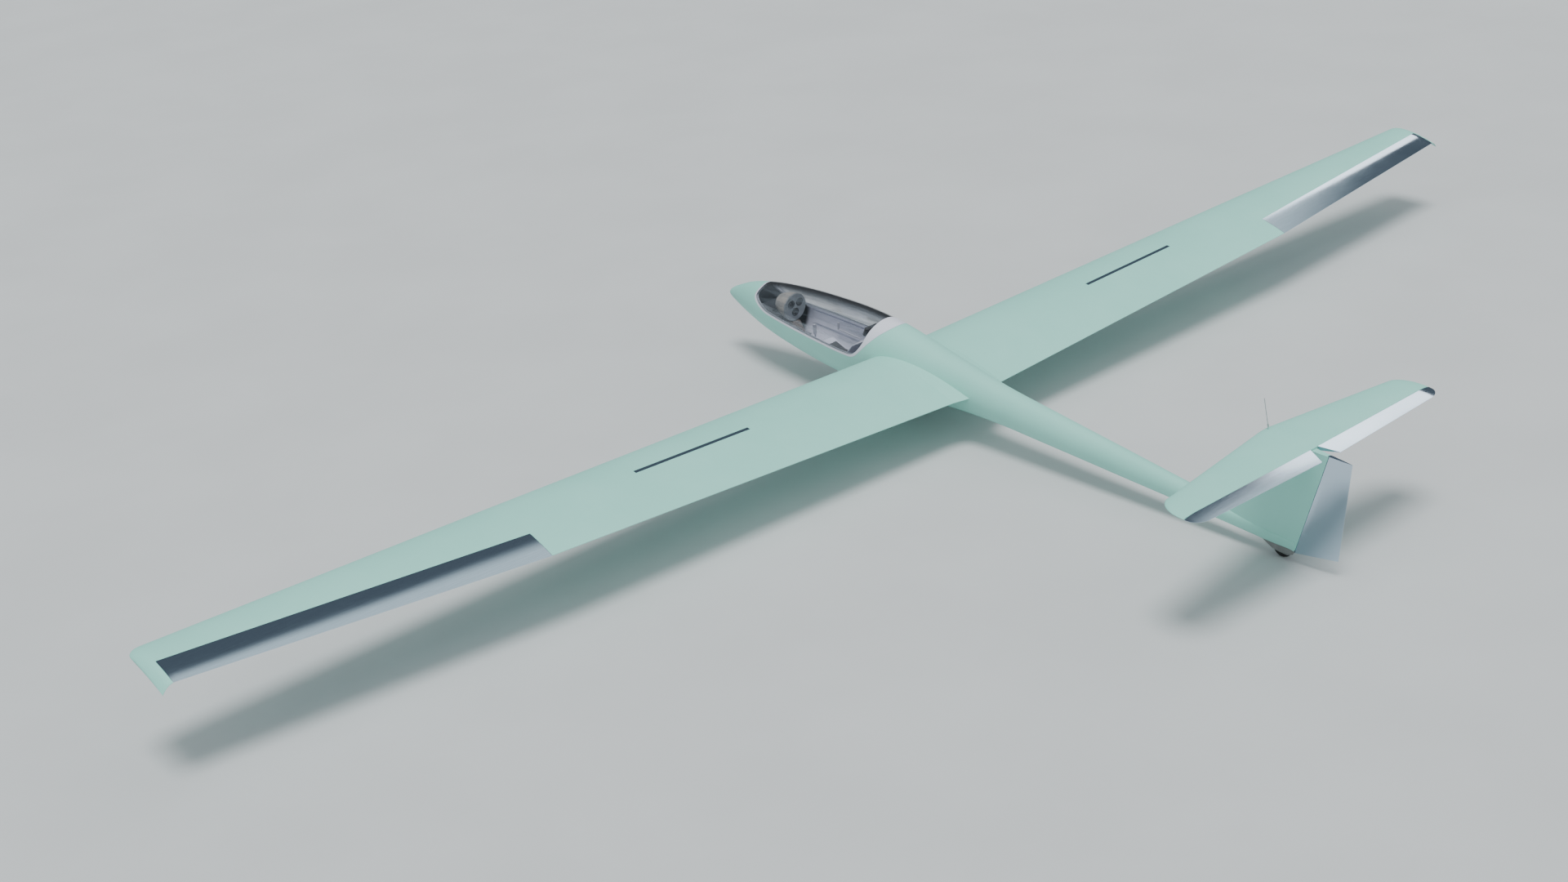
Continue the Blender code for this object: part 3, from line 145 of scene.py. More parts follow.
class Graph:
    """The node tree of one material."""

    def __init__(self, name, **fixed):
        self.material = bpy.data.materials.new(name)
        self.material.use_nodes = True
        self.tree = self.material.node_tree
        self.shader = self.tree.nodes["Principled BSDF"]
        for key, value in fixed.items():
            self.shader.inputs[key.replace("_", " ").title()].default_value = value
        self.place = self.node("ShaderNodeTexCoord", {}, "Object")

    def put(self, socket, value):
        if isinstance(value, Value):
            self.tree.links.new(value.socket, socket)
        elif value is not None:
            socket.default_value = value

    def node(self, kind, settings, out, *values, **named):
        made = self.tree.nodes.new(kind)
        for key, value in settings.items():
            if key == "stops":
                ramp = made.color_ramp.elements
                while len(ramp) < len(value):
                    ramp.new(0.5)
                for element, (at, colour) in zip(ramp, value):
                    element.position, element.color = at, (*colour, 1.0)
            else:
                setattr(made, key, value)
        for socket, value in zip(made.inputs, values):
            self.put(socket, value)
        for key, value in named.items():
            self.put(made.inputs[key], value)
        return Value(self, made.outputs[out])

    def scaled(self, scale, turn=(0.0, 0.0, 0.0)):
        return self.node("ShaderNodeMapping", {}, 0, Vector=self.place, Scale=scale, Rotation=turn)

    def noise(self, scale, detail=3.0, where=None, rough=0.55):
        return self.node("ShaderNodeTexNoise", {}, 0, Vector=where or self.place, Scale=scale,
                         Detail=detail, Roughness=rough)

    def bump(self, height, strength, distance):
        self.feed("Normal", self.node("ShaderNodeBump", {}, 0, Height=height, Strength=strength,
                                      Distance=distance))

    def feed(self, name, value):
        self.put(self.shader.inputs[name], value)


def colour_mix(graph, factor, low, high):
    made = graph.tree.nodes.new("ShaderNodeMix")
    made.data_type = "RGBA"
    graph.put(made.inputs[0], factor)
    graph.put(made.inputs[6], low if isinstance(low, Value) else (*low, 1.0))
    graph.put(made.inputs[7], high if isinstance(high, Value) else (*high, 1.0))
    return Value(graph, made.outputs[2])


def paint(name, low, high, roughness, coat=0.5, peel=0.06, shade_ahead_of=None):
    """Gel coat: a slow drift of tone, a polished coat and the faintest orange peel; where a distance
    aft is given, painted shade ahead of it.
    """
    g = Graph(name, coat_roughness=0.06)
    drift = g.noise(1.6, 4.0).step(0.35, 0.65)
    dust = g.noise(34.0, 5.0).step(0.52, 0.80)
    tone = colour_mix(g, dust * 0.10, colour_mix(g, drift, low, high),
                      tuple(c * 0.86 for c in low))
    # Ahead of the given distance aft the colour turns to painted shade, standing in for the shadow in
    # the footwell.
    if shade_ahead_of is not None:
        aft = g.node("ShaderNodeSeparateXYZ", {}, 1, g.place)
        tone = colour_mix(g, aft.step(shade_ahead_of - 0.06, shade_ahead_of), FOOTWELL_SHADE, tone)
    g.feed("Base Color", tone)
    g.feed("Roughness", dust * 0.10 + roughness)
    g.feed("Coat Weight", coat - dust * 0.15)
    g.bump(g.noise(420.0, 2.0), peel, 0.0006)
    return g.material


def metal(name, colour, roughness, along=(0.35, 26.0, 26.0), streak=0.10):
    """Metal with the soft streaks that rolling or brushing leaves along the piece."""
    g = Graph(name, metallic=1.0)
    lines = g.noise(9.0, 6.0, g.scaled(along), 0.62)
    smear = g.noise(1.1, 3.0).step(0.35, 0.70)
    g.feed("Base Color", colour_mix(g, lines.step(0.35, 0.70), tuple(c * 0.90 for c in colour),
                                    colour))
    g.feed("Roughness", lines * streak + smear * 0.03 + roughness)
    g.bump(lines, 0.05, 0.0004)
    return g.material


def plastic(name, low, high, roughness, grain=420.0, depth=0.25):
    """Moulded plastic or laminate with a fine cell grain and rubbed patches."""
    g = Graph(name)
    cells = g.node("ShaderNodeTexVoronoi", {}, "Distance", Vector=g.place, Scale=grain)
    rubbed = g.noise(7.0, 5.0).step(0.40, 0.72)
    g.feed("Base Color", colour_mix(g, rubbed, low, high))
    g.feed("Roughness", roughness - rubbed * 0.12 + cells * 0.10)
    g.bump(cells, depth, 0.0005)
    return g.material


def cloth(name, low, high, pitch=520.0):
    """A plain weave with mottled yarn and the sheen of short fibres."""
    g = Graph(name, sheen_weight=0.35, sheen_roughness=0.45)
    warp = g.node("ShaderNodeTexWave", {"bands_direction": "X"}, 1, Vector=g.place, Scale=pitch,
                  Distortion=0.6)
    weft = g.node("ShaderNodeTexWave", {"bands_direction": "Z"}, 1, Vector=g.place, Scale=pitch,
                  Distortion=0.6)
    weave = warp * 0.5 + weft * 0.5
    worn = g.noise(11.0, 5.0).step(0.35, 0.75)
    g.feed("Base Color", colour_mix(g, weave * 0.45 + worn * 0.45, low, high))
    g.feed("Roughness", 0.95 - worn * 0.10)
    g.bump(weave, 0.5, 0.0007)
    return g.material


def rubber():
    g = Graph("tyre_rubber")
    dust = g.noise(16.0, 6.0).step(0.45, 0.75)
    g.feed("Base Color", colour_mix(g, dust, (0.012, 0.012, 0.013), (0.055, 0.052, 0.048)))
    g.feed("Roughness", dust * 0.20 + 0.62)
    g.bump(g.noise(160.0, 4.0), 0.30, 0.0008)
    return g.material


def acrylic():
    """The canopy: clear where it is looked through squarely and glossy where it is not. Toward grazing
    angles its colour darkens as a painted dark reflection, and faint streaks of painted reflection
    cross it.
    """
    g = Graph("canopy_acrylic", metallic=0.70, roughness=0.04)
    # Faint streaks of painted reflection: the glass turns more opaque and glossy along them.
    streaks = g.noise(1.6, 4.0, g.scaled((12.0, 0.25, 12.0)), 0.6)
    facing = g.node("ShaderNodeLayerWeight", {}, 1, Blend=0.5)
    # The colour darkens toward grazing angles, a painted dark reflection.
    g.feed("Base Color", colour_mix(g, facing.step(0.30, 0.70), (0.46, 0.52, 0.58),
                                    (0.075, 0.075, 0.080)))
    factor = facing.step(0.28, 0.80) * 0.80 + streaks.step(0.48, 0.60) * 0.16 + 0.03
    clear = g.node("ShaderNodeBsdfTransparent", {}, 0, Color=(0.965, 0.97, 0.98, 1.0))
    mix = g.node("ShaderNodeMixShader", {}, 0, factor, clear, Value(g, g.shader.outputs[0]))
    g.put(g.tree.nodes["Material Output"].inputs[0], mix)
    return g.material


FOOTWELL_SHADE = (0.025, 0.026, 0.029)  # painted shade ahead of the panel, standing in for the footwell's shadow
MINT = paint("mint_gelcoat", (0.315, 0.70, 0.61), (0.335, 0.72, 0.63), 0.60, 0.05, 0.04)
# The cabin paint turns to painted shade ahead of the instrument panel.
CABIN = paint("cabin_white", (0.66, 0.66, 0.76), (0.74, 0.74, 0.84), 0.38, 0.25,
              shade_ahead_of=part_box("instrument_panel")[0][1])
LEVER_GREY = plastic("lever_grey", (0.46, 0.46, 0.51), (0.56, 0.56, 0.61), 0.45, 700.0, 0.1)
RIM = paint("canopy_rim_white", (0.72, 0.72, 0.83), (0.79, 0.79, 0.89), 0.40, 0.2)
POLISHED = metal("polished_skin", (0.62, 0.74, 0.86), 0.045, streak=0.06)
STEEL = metal("machined_steel", (0.52, 0.53, 0.55), 0.26, (30.0, 2.0, 2.0), 0.18)
GLASS = acrylic()
DARK = plastic("dark_laminate", (0.020, 0.020, 0.024), (0.035, 0.035, 0.040), 0.62)
BROWN = plastic("grained_brown", (0.17, 0.125, 0.10), (0.25, 0.20, 0.165), 0.60, 300.0, 0.5)
BEIGE = plastic("beige_cover", (0.42, 0.38, 0.34), (0.50, 0.46, 0.42), 0.60, 300.0, 0.5)
GREY = plastic("fairing_grey", (0.20, 0.20, 0.20), (0.27, 0.27, 0.27), 0.52)
PANEL_GREY = plastic("panel_grey", (0.26, 0.275, 0.29), (0.33, 0.345, 0.36), 0.45, 600.0, 0.2)
CARBON = plastic("carbon_laminate", (0.025, 0.025, 0.03), (0.05, 0.05, 0.055), 0.40, 500.0, 0.3)
SEAT_CLOTH = cloth("dark_grey_weave", (0.030, 0.030, 0.034), (0.085, 0.085, 0.092))
PALE_CLOTH = cloth("pale_weave", (0.50, 0.50, 0.56), (0.66, 0.66, 0.72))
RUBBER = rubber()
YELLOW = plastic("yellow_knob", (0.75, 0.48, 0.02), (0.85, 0.58, 0.04), 0.35, 700.0, 0.1)
DIAL = plastic("dial_black", (0.008, 0.008, 0.009), (0.014, 0.014, 0.015), 0.50, 900.0, 0.1)
MARKS = plastic("dial_marks", (0.78, 0.78, 0.76), (0.86, 0.86, 0.84), 0.45, 900.0, 0.1)


# ---- mesh helpers ------------------------------------------------------------------------------
tools = []


def mesh_object(name, bm, look=None):
    bmesh.ops.recalc_face_normals(bm, faces=bm.faces)
    mesh = bpy.data.meshes.new(name)
    bm.to_mesh(mesh)
    bm.free()
    obj = bpy.data.objects.new(name, mesh)
    bpy.context.scene.collection.objects.link(obj)
    if look:
        mesh.materials.append(look)
    return obj


def loft(name, rings, look=None, closed=False):
    """A closed solid through rings of equal counts; closed joins the last ring to the first."""
    bm = bmesh.new()
    loops = [[bm.verts.new(p) for p in ring] for ring in rings]
    pairs = list(zip(loops, loops[1:])) + ([(loops[-1], loops[0])] if closed else [])
    for a, b in pairs:
        for i in range(len(a)):
            j = (i + 1) % len(a)
            bm.faces.new((a[i], a[j], b[j], b[i]))
    if not closed:
        bm.faces.new(loops[0])
        bm.faces.new(loops[-1])
    return mesh_object(name, bm, look)


def cut(obj, tool, operation="DIFFERENCE"):
    modifier = obj.modifiers.new(tool.name, "BOOLEAN")
    modifier.operation, modifier.solver, modifier.object = operation, "EXACT", tool
    modifier.material_mode = "TRANSFER" if tool.data.materials else "INDEX"
    tools.append(tool)
    return obj


def box(name, low, high, look=None, bevel=0.0):
    bm = bmesh.new()
    bmesh.ops.create_cube(bm, size=1.0)
    for v in bm.verts:
        v.co = Vector(lo + (c + 0.5) * (hi - lo) for lo, hi, c in zip(low, high, v.co))
    if bevel:
        bmesh.ops.bevel(bm, geom=bm.edges[:], offset=bevel, segments=3, affect="EDGES", profile=0.5)
    return mesh_object(name, bm, look)


def prism(name, outline, x0, x1, look=None):
    return loft(name, [[(x, y, z) for y, z in outline] for x in (x0, x1)], look)


def rod(name, points, radii, look=None, steps=24):
    """A round bar through points, with a radius at each."""
    points = [Vector(p) for p in points]
    rings = []
    for i, p in enumerate(points):
        along = (points[min(i + 1, len(points) - 1)] - points[max(i - 1, 0)]).normalized()
        side = along.cross(Vector((0.31, 0.17, 0.93))).normalized()
        other = along.cross(side)
        rings.append([p + radii[i] * (math.cos(a) * side + math.sin(a) * other)
                      for a in (2 * math.pi * k / steps for k in range(steps))])
    return loft(name, rings, look)


def turned(name, centre, profile, steps, look=None):
    rings = []
    for k in range(steps):
        a = 2 * math.pi * k / steps - ATTITUDE
        rings.append([(centre[0] + x, centre[1] + r * math.sin(a), centre[2] - r * math.cos(a))
                      for x, r in profile])
    return loft(name, rings, look, closed=True)


def settle(obj):
    """Turns an object's live modifiers into its plain mesh."""
    bpy.context.view_layer.update()
    mesh = bpy.data.meshes.new_from_object(obj.evaluated_get(
        bpy.context.evaluated_depsgraph_get()))
    obj.modifiers.clear()
    obj.data = mesh
    return obj


def piece(obj, body, *nodes, slot=None, angle=32.0, standing=True):
    """Finishes a piece: plain mesh, on the ground, smooth, riding on its body."""
    settle(obj)
    while tools:
        bpy.data.objects.remove(tools.pop())
    if standing:
        obj.data.transform(STANDING)
    obj.data.shade_smooth()
    obj.data.set_sharp_from_angle(angle=math.radians(angle))
    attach(obj, body)
    if nodes:
        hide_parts(*nodes)
    return obj


def join(name, parts, look=None):
    """One object from several, keeping their materials."""
    bm = bmesh.new()
    looks = []
    for part in parts:
        settle(part)
        first = len(bm.faces)
        bm.from_mesh(part.data)
        bm.faces.ensure_lookup_table()
        own = [m for m in part.data.materials] or [look]
        for face in bm.faces[first:]:
            wanted = own[min(face.material_index, len(own) - 1)]
            if wanted not in looks:
                looks.append(wanted)
            face.material_index = looks.index(wanted)
        bpy.data.objects.remove(part)
    mesh = bpy.data.meshes.new(name)
    bm.to_mesh(mesh)
    bm.free()
    for each in looks:
        mesh.materials.append(each)
    obj = bpy.data.objects.new(name, mesh)
    bpy.context.scene.collection.objects.link(obj)
    return obj


# ---- fuselage and canopy -----------------------------------------------------------------------
def section_sizes(y):
    """Top, bottom, half width and squareness at a distance aft, on smooth curves."""
    table = np.array(FUSELAGE_STATIONS)
    knots, values = np.sqrt(table[:, 0]), table[:, 1:]
    slopes = np.gradient(values, knots, axis=0)
    s = math.sqrt(y)
    i = int(np.clip(np.searchsorted(knots, s) - 1, 0, len(knots) - 2))
    h = knots[i + 1] - knots[i]
    t = (s - knots[i]) / h
    return ((2 * t**3 - 3 * t**2 + 1) * values[i] + (t**3 - 2 * t**2 + t) * h * slopes[i]
            + (3 * t**2 - 2 * t**3) * values[i + 1] + (t**3 - t**2) * h * slopes[i + 1])


def fuselage_ring(y, inset, count):
    top, bottom, half, square = section_sizes(y)
    centre, tall, wide = (top + bottom) / 2, (top - bottom) / 2 - inset, half - inset
    ring = []
    for k in range(count):
        c, s = math.cos(2 * math.pi * k / count), math.sin(2 * math.pi * k / count)
        ring.append((wide * math.copysign(abs(c) ** (2 / square), c), y,
                     centre + tall * math.copysign(abs(s) ** (2 / square), s)))
    return ring


def fuselage_solid(name, inset, y0, y1, count=ROUND, look=None):
    roots = np.linspace(math.sqrt(y0), math.sqrt(y1), max(6, int(40 * (math.sqrt(y1) - math.sqrt(y0)))))
    return loft(name, [fuselage_ring(float(s * s), inset, count) for s in roots], look)


def rudder_axis(z):
    (y0, z0), (y1, z1) = RUDDER_HINGE
    return y0 + (y1 - y0) * (z - z0) / (z1 - z0)


def rudder_nose_radius(z):
    return float(np.interp(z, (0.0, 0.86), (RUDDER_NOSE, 0.0175)))


def rudder_room(name):
    rings = []
    for z in (-0.12, 0.93):
        r = rudder_nose_radius(z) + 0.003
        rings.append([(r * math.cos(2 * math.pi * k / 40), rudder_axis(z) + 1.03 * r
                       * math.sin(2 * math.pi * k / 40), z) for k in range(40)])
    return loft(name, rings)


def tail_well(name):
    clear, half = TAIL_RADIUS + 0.005, TAIL_WIDTH / 2 + 0.004
    y, z = TAIL_AXLE
    return box(name, (-half, y - clear, -0.3), (half, y + clear, z + clear))


def spar_slot(name):
    return box(name, (-0.5, SPAR_SLOT_Y[0], SPAR_SLOT_Z[0]), (0.5, SPAR_SLOT_Y[1], SPAR_SLOT_Z[1]))


def softened(outline, rounds=2):
    """Corner cutting that keeps the outline's ends high above the skin."""
    points = [Vector(p) for p in outline]
    for _ in range(rounds):
        out = [points[0]]
        for a, b in zip(points, points[1:]):
            out += [a.lerp(b, 0.25), a.lerp(b, 0.75)]
        points = [*out, points[-1]]
    return [tuple(p) for p in points]


def grown(outline, by):
    points = [Vector(p) for p in outline]
    count = len(points)
    area = sum(points[i].cross(points[(i + 1) % count]) for i in range(count))
    out = []
    for i in range(count):
        along = points[(i + 1) % count] - points[i - 1]
        normal = Vector((along.y, -along.x)).normalized() * math.copysign(1.0, area)
        out.append(tuple(points[i] + normal * by))
    return out


RIM_LINE, GLASS_LINE = softened(CANOPY_EDGE), softened(GLASS_EDGE)

shell = fuselage_solid("fuselage_skin", 0.0, 0.004, 6.697, look=MINT)
cut(shell, fuselage_solid("hollow", SKIN_WALL, 0.12, 6.30, 72, CABIN))
cut(shell, prism("opening", RIM_LINE, -0.6, 0.6, RIM))
cut(shell, box("bay", (-BAY_HALF_WIDTH, BAY_Y[0], -0.5), (BAY_HALF_WIDTH, BAY_Y[1], 0.0)))
cut(shell, spar_slot("slot"))
cut(shell, tail_well("well"))
cut(shell, rudder_room("room"))
cut(shell, box("hook_way", (-0.022, 1.925, -0.4), (0.022, 2.015, -0.1)))
piece(shell, "airframe", "fuselage_shell", slot="mint_paint")

rim = fuselage_solid("canopy_rim", 0.0, 0.38, 2.50, look=RIM)
cut(rim, fuselage_solid("rim_hollow", CANOPY_FRAME_DEPTH, 0.30, 2.60, 72))
cut(rim, prism("rim_outline", grown(RIM_LINE, -GAP), -0.6, 0.6), "INTERSECT")
cut(rim, prism("rim_window", GLASS_LINE, -0.7, 0.7))
piece(rim, "canopy", "canopy_frame", slot="frame_white")

glass = fuselage_solid("canopy_glazing", 0.0, 0.40, 2.40, look=GLASS)
cut(glass, fuselage_solid("glass_inside", GLASS_THICKNESS, 0.30, 2.50))
cut(glass, prism("glass_outline", grown(GLASS_LINE, -TOUCH), -0.6, 0.6), "INTERSECT")
piece(glass, "canopy", "canopy_glass", slot="clear", angle=50.0)


# ---- wings -------------------------------------------------------------------------------------
def wing_plan(x):
    table = np.array(WING_STATIONS)
    slope = (x - table[-2][0]) / (table[-1][0] - table[-2][0])
    beyond = table[-2] + (table[-1] - table[-2]) * slope
    values = beyond if x > table[-1][0] else [np.interp(x, table[:, 0], c) for c in table.T]
    share = np.interp(x, (AILERON_INNER, AILERON_OUTER), AILERON_HINGE_FRACTION)
    return float(values[1]), float(values[2]), float(values[3]), float(share)


def half_thickness(f):
    return 5 * (0.2969 * math.sqrt(f) - 0.126 * f - 0.3516 * f**2 + 0.2843 * f**3 - 0.1015 * f**4)


def chord_shares(hinge, front=26, rear=12):
    first = [hinge * (1 - math.cos(math.pi * k / 2 / front)) for k in range(front + 1)]
    return first + [hinge + (1 - hinge) * k / rear for k in range(1, rear + 1)]


def wing_point(x, f, upper, grow=0.0):
    le, te, ratio, _ = wing_plan(x)
    out = max(0.0, (x - TIP_STARTS) / (HALF_SPAN - TIP_STARTS))
    rounding = math.sqrt(max(0.0, 1 - min(out, 1.0) ** 2))
    le += 0.085 * (1 - rounding)
    te += 0.010 * (1 - rounding)
    chord = te - le
    mean = WING_TE_HEIGHT + DIHEDRAL * (x - WING_ROOT) + INCIDENCE * chord * (1 - f)
    mean += CAMBER * chord * (4 * f * (1 - f))
    mean -= TIP_DROOP * f * out**2
    tall = (ratio * half_thickness(f) * (0.18 + 0.82 * rounding)) * chord + 0.0008 + grow
    return (x, le + f * chord, mean + (tall if upper else -tall))


def wing_ring(x, side, shares, grow=0.0):
    upper = [wing_point(x, f, True, grow) for f in reversed(shares)]
    lower = [wing_point(x, f, False, grow) for f in (shares if grow else shares[1:])]
    return [(side * px, py, pz) for px, py, pz in upper + lower]


WING_RINGS = (WING_ROOT, 1.2, 2.1, 3.0, 3.8, AILERON_INNER, 5.2, 6.0, 6.8, 7.20, 7.35, TIP_STARTS,
              7.42, 7.44, 7.455, 7.47, 7.48, 7.488, 7.494, 7.498, HALF_SPAN)


def wing_solid(name, side, look=None, rings=WING_RINGS):
    return loft(name, [wing_ring(x, side, chord_shares(wing_plan(x)[3])) for x in rings], look)


def hinge_line(side):
    ends = []
    for x in (AILERON_INNER, AILERON_OUTER):
        px, py, pz = wing_point(x, wing_plan(x)[3], True)
        ends.append(Vector((side * px, py, pz)))
    return ends


def aileron_block(name, side, lead, slant, ends):
    (inner, outer), faces = hinge_line(side), []
    for x in ends:
        at = inner.lerp(outer, (x - AILERON_INNER) / (AILERON_OUTER - AILERON_INNER))
        y, z, deep, high = at.y - lead, at.z, 0.16, 0.10
        faces.append([(side * x, y, z + high), (side * x, y + 0.5, z + high),
                      (side * x, y + 0.5, z - deep), (side * x, y + slant * deep, z - deep),
                      (side * x, y, z)])
    return loft(name, faces)


def skin_over_airbrake(x):
    le, te, _, _ = wing_plan(x)
    return wing_point(x, (sum(AIRBRAKE_Y) / 2 - le) / (te - le), True)[2]


def airbrake_bar(name, side, inset, depths):
    rings = []
    y0, y1 = AIRBRAKE_Y[0] + inset, AIRBRAKE_Y[1] - inset
    for x in (AIRBRAKE_X[0] + inset, AIRBRAKE_X[1] - inset):
        top = skin_over_airbrake(x)
        rings.append([(side * x, y0, top - depths[0]), (side * x, y1, top - depths[0]),
                      (side * x, y1, top - depths[1]), (side * x, y0, top - depths[1])])
    return loft(name, rings)


ROOT_FLARE = ((0.10, 0.10), (0.14, 0.073), (0.18, 0.051), (0.22, 0.035), (0.26, 0.015),
              (WING_ROOT - TOUCH, 0.0))

for side, hand in ((1, "left"), (-1, "right")):
    wing = wing_solid(f"wing_skin_{hand}", side, MINT)
    cut(wing, aileron_block("aileron_bay", side, 0.0008, 0.0,
                            (AILERON_INNER - 0.003, AILERON_OUTER + 0.003)))
    cut(wing, airbrake_bar("brake_slot", side, 0.0, (AIRBRAKE_BOX, -0.05)))
    piece(wing, "airframe", f"wing_shell_{hand}", slot="mint_paint")

    flap = wing_solid(f"aileron_skin_{hand}", side, POLISHED)
    cut(flap, aileron_block("flap_shape", side, 0.0, 0.45, (AILERON_INNER, AILERON_OUTER)),
        "INTERSECT")
    piece(flap, f"aileron_{hand}", f"aileron_{hand}", slot="polished_metal")

    cap = wing_solid(f"airbrake_strip_{hand}", side, POLISHED, (2.0, 2.4, 2.8, 3.2, 3.4))
    cut(cap, airbrake_bar("cap_shape", side, GAP, (AIRBRAKE_CAP, -0.05)), "INTERSECT")
    piece(cap, f"airbrake_{hand}", f"airbrake_cap_{hand}", slot="polished_metal")

    rings = []
    for x, longer in ROOT_FLARE:
        ring = []
        for px, py, pz in wing_ring(WING_ROOT, side, chord_shares(AILERON_HINGE_FRACTION[0])):
            f = (py - 2.27) / 1.05
            ring.append((side * x, py + longer * f, pz - DIHEDRAL * (WING_ROOT - x) + 0.4 * longer * f))
        rings.append(ring)
    stub = loft(f"root_fillet_{hand}", rings, MINT)
    cut(stub, fuselage_solid("bed", -TOUCH, 1.9, 4.3))
    cut(stub, spar_slot("stub_slot"))
    piece(stub, "airframe", f"wing_root_fairing_{hand}", slot="mint_paint")


# ---- tail --------------------------------------------------------------------------------------
def stab_ring(x, side, grow=0.0):
    le, te = STAB_ROOT_LE + STAB_SWEEP * x, STAB_ROOT_TE + STAB_TE_SWEEP * x
    out = max(0.0, (x - 1.36) / (STAB_HALF_SPAN - 1.36))
    rounding = math.sqrt(max(0.0, 1 - min(out, 1.0) ** 2))
    le += 0.20 * (1 - rounding)
    te -= 0.10 * (1 - rounding)
    hinge = (STAB_HINGE_ROOT + STAB_HINGE_SWEEP * x - le) / (te - le)
    shares = chord_shares(hinge, front=20, rear=8)
    ratio = STAB_THICKNESS * (0.25 + 0.75 * rounding)
    points = []
    for up, these in ((1, list(reversed(shares))), (-1, shares[1:])):
        for f in these:
            tall = ratio * half_thickness(f) * (te - le) + 0.0008 + grow
            points.append((side * x, le + f * (te - le) + grow * (2 * f - 1), STAB_HEIGHT + up * tall))
    return points


STAB_RINGS = (0.046, 0.131, 0.5, 0.9, 1.25, 1.36, 1.39, 1.42, 1.445, 1.465, 1.48, 1.492, 1.50,
              STAB_HALF_SPAN)


def stab_solid(name, grow=0.0, look=None):
    left = [stab_ring(x, 1, grow) for x in STAB_RINGS]
    right = [stab_ring(x, -1, grow) for x in STAB_RINGS]
    return loft(name, list(reversed(right)) + left, look)


def behind_stab_hinge(name, lead, slant):
    rings = []
    for x in (-1.6, 0.0, 1.6):
        y = STAB_HINGE_ROOT + STAB_HINGE_SWEEP * abs(x) - lead
        z = STAB_HEIGHT + 0.017
        rings.append([(x, y, z + 0.1), (x, y + 0.5, z + 0.1), (x, y + 0.5, z - 0.1),
                      (x, y + 0.1 * slant, z - 0.1), (x, y, z)])
    return loft(name, rings)


stab = stab_solid("tailplane_skin", look=MINT)
cut(stab, behind_stab_hinge("stab_end", 0.0008, 0.0))
piece(stab, "airframe", "horizontal_stabiliser", slot="mint_paint")
for side, hand in ((1, "left"), (-1, "right")):
    (x0, y0), (x1, y1) = ELEVATOR_NOTCH
    flap = stab_solid(f"elevator_skin_{hand}", look=POLISHED)
    cut(flap, behind_stab_hinge("flap_front", 0.0, 0.45), "INTERSECT")
    outline = ((x0, y0 - 0.05), (x0, y0), (x1, y1), (1.8, y1), (1.8, y0 - 0.05))
    cut(flap, loft("notch", [[(side * px, py, z) for px, py in outline] for z in (0.6, 1.1)]),
        "INTERSECT")
    piece(flap, f"elevator_{hand}", f"elevator_{hand}", slot="polished_metal")


def fin_le(z):
    return float(np.interp(z, (-0.04, 0.10, 0.86), (5.78, 5.93, 6.33)))


def rudder_te(z):
    return 7.073 + 0.0263 * (z - 0.033)


def fin_ring(z):
    le, te, axis = fin_le(z), rudder_te(z), rudder_axis(z)
    hinge = (axis - le) / (te - le)
    ratio = float(np.interp(z, (0.0, 0.86), (0.075, 0.090)))
    shares = [hinge * (1 - math.cos(math.pi * k / 48)) for k in range(25)]
    left = [(ratio * half_thickness(f) * (te - le) + 0.0008, le + f * (te - le), z) for f in shares]
    return left + [(-x, y, zz) for x, y, zz in reversed(left[1:])]


fin = loft("fin_skin", [fin_ring(z) for z in (-0.060, 0.02, 0.10, 0.30, 0.48, 0.70, 0.90)], MINT)
cut(fin, prism("fin_outline", ((6.20, FIN_TOP), (rudder_axis(FIN_TOP) - 0.006, FIN_TOP),
                               (rudder_axis(FIN_BOTTOM) - 0.006, FIN_BOTTOM), (6.42, FIN_BOTTOM),
                               (5.70, 0.12), (5.70, FIN_TOP)), -0.2, 0.2), "INTERSECT")
cut(fin, fuselage_solid("fin_bed", -TOUCH, 5.0, 6.6975))
top_bed = stab_solid("top_bed", TOUCH)
cut(top_bed, behind_stab_hinge("bed_end", -TOUCH, 0.0))
settle(top_bed)
cut(fin, top_bed)
cut(fin, rudder_room("fin_room"))
cut(fin, tail_well("fin_well"))
piece(fin, "airframe", "vertical_fin", slot="mint_paint")


def rudder_ring(z):
    r, axis, te = rudder_nose_radius(z), rudder_axis(z), rudder_te(z)
    nose = [(r * math.cos(math.pi * k / 24), axis - r * math.sin(math.pi * k / 24), z)
            for k in range(25)]
    sides = [(r * (1 - 0.72 * t - 0.28 * t * t) + 0.0012 * t, axis + t * (te - axis), z)
             for t in (0.15, 0.3, 0.45, 0.6, 0.75, 0.88, 1.0)]
    return nose + [(-x, y, zz) for x, y, zz in sides] + list(reversed(sides))


blade = loft("rudder_skin", [rudder_ring(z) for z in (-0.10, 0.1, 0.35, 0.6, 0.868)], POLISHED)
cut(blade, prism("rudder_outline", ((6.5, -0.078), (6.703, -0.043), (7.074, 0.031), (7.2, 0.056),
                                    (7.2, 1.0), (6.5, 1.0)), -0.2, 0.2), "INTERSECT")
piece(blade, "rudder", "rudder", slot="polished_metal")


# ---- wheels ------------------------------------------------------------------------------------
def tyre(name, axle, radius, width, bead, grooves, node, body):
    """A tyre with a round crown, tread grooves and a bead, turned about its axle."""
    half, points = width / 2, []
    for k in range(49):
        a = math.pi * k / 48
        depth = 0.0025 if any(abs(k - g) < 1 for g in grooves) else 0.0
        points.append(((half - depth * 0.3) * math.cos(a),
                       radius - half * 0.95 + (half * 0.95 - depth) * math.sin(a)))
    points += [(-half * 0.97, bead + 0.014), (-half * 0.84, bead + 0.006), (-half * 0.72, bead),
               (half * 0.72, bead), (half * 0.84, bead + 0.006), (half * 0.97, bead + 0.014)]
    made = turned(name, (0.0, *axle), points, 112, RUBBER)
    piece(made, body, node, slot="tyre", angle=28.0)


tyre("main_tyre", MAIN_AXLE, MAIN_RADIUS, MAIN_WIDTH, 0.082, (15, 20, 24, 28, 33), "main_wheel_tyre",
     "main_wheel")
tyre("tail_tyre", TAIL_AXLE, TAIL_RADIUS, TAIL_WIDTH, 0.048, (18, 24, 30), "tail_wheel_tyre",
     "tail_wheel")


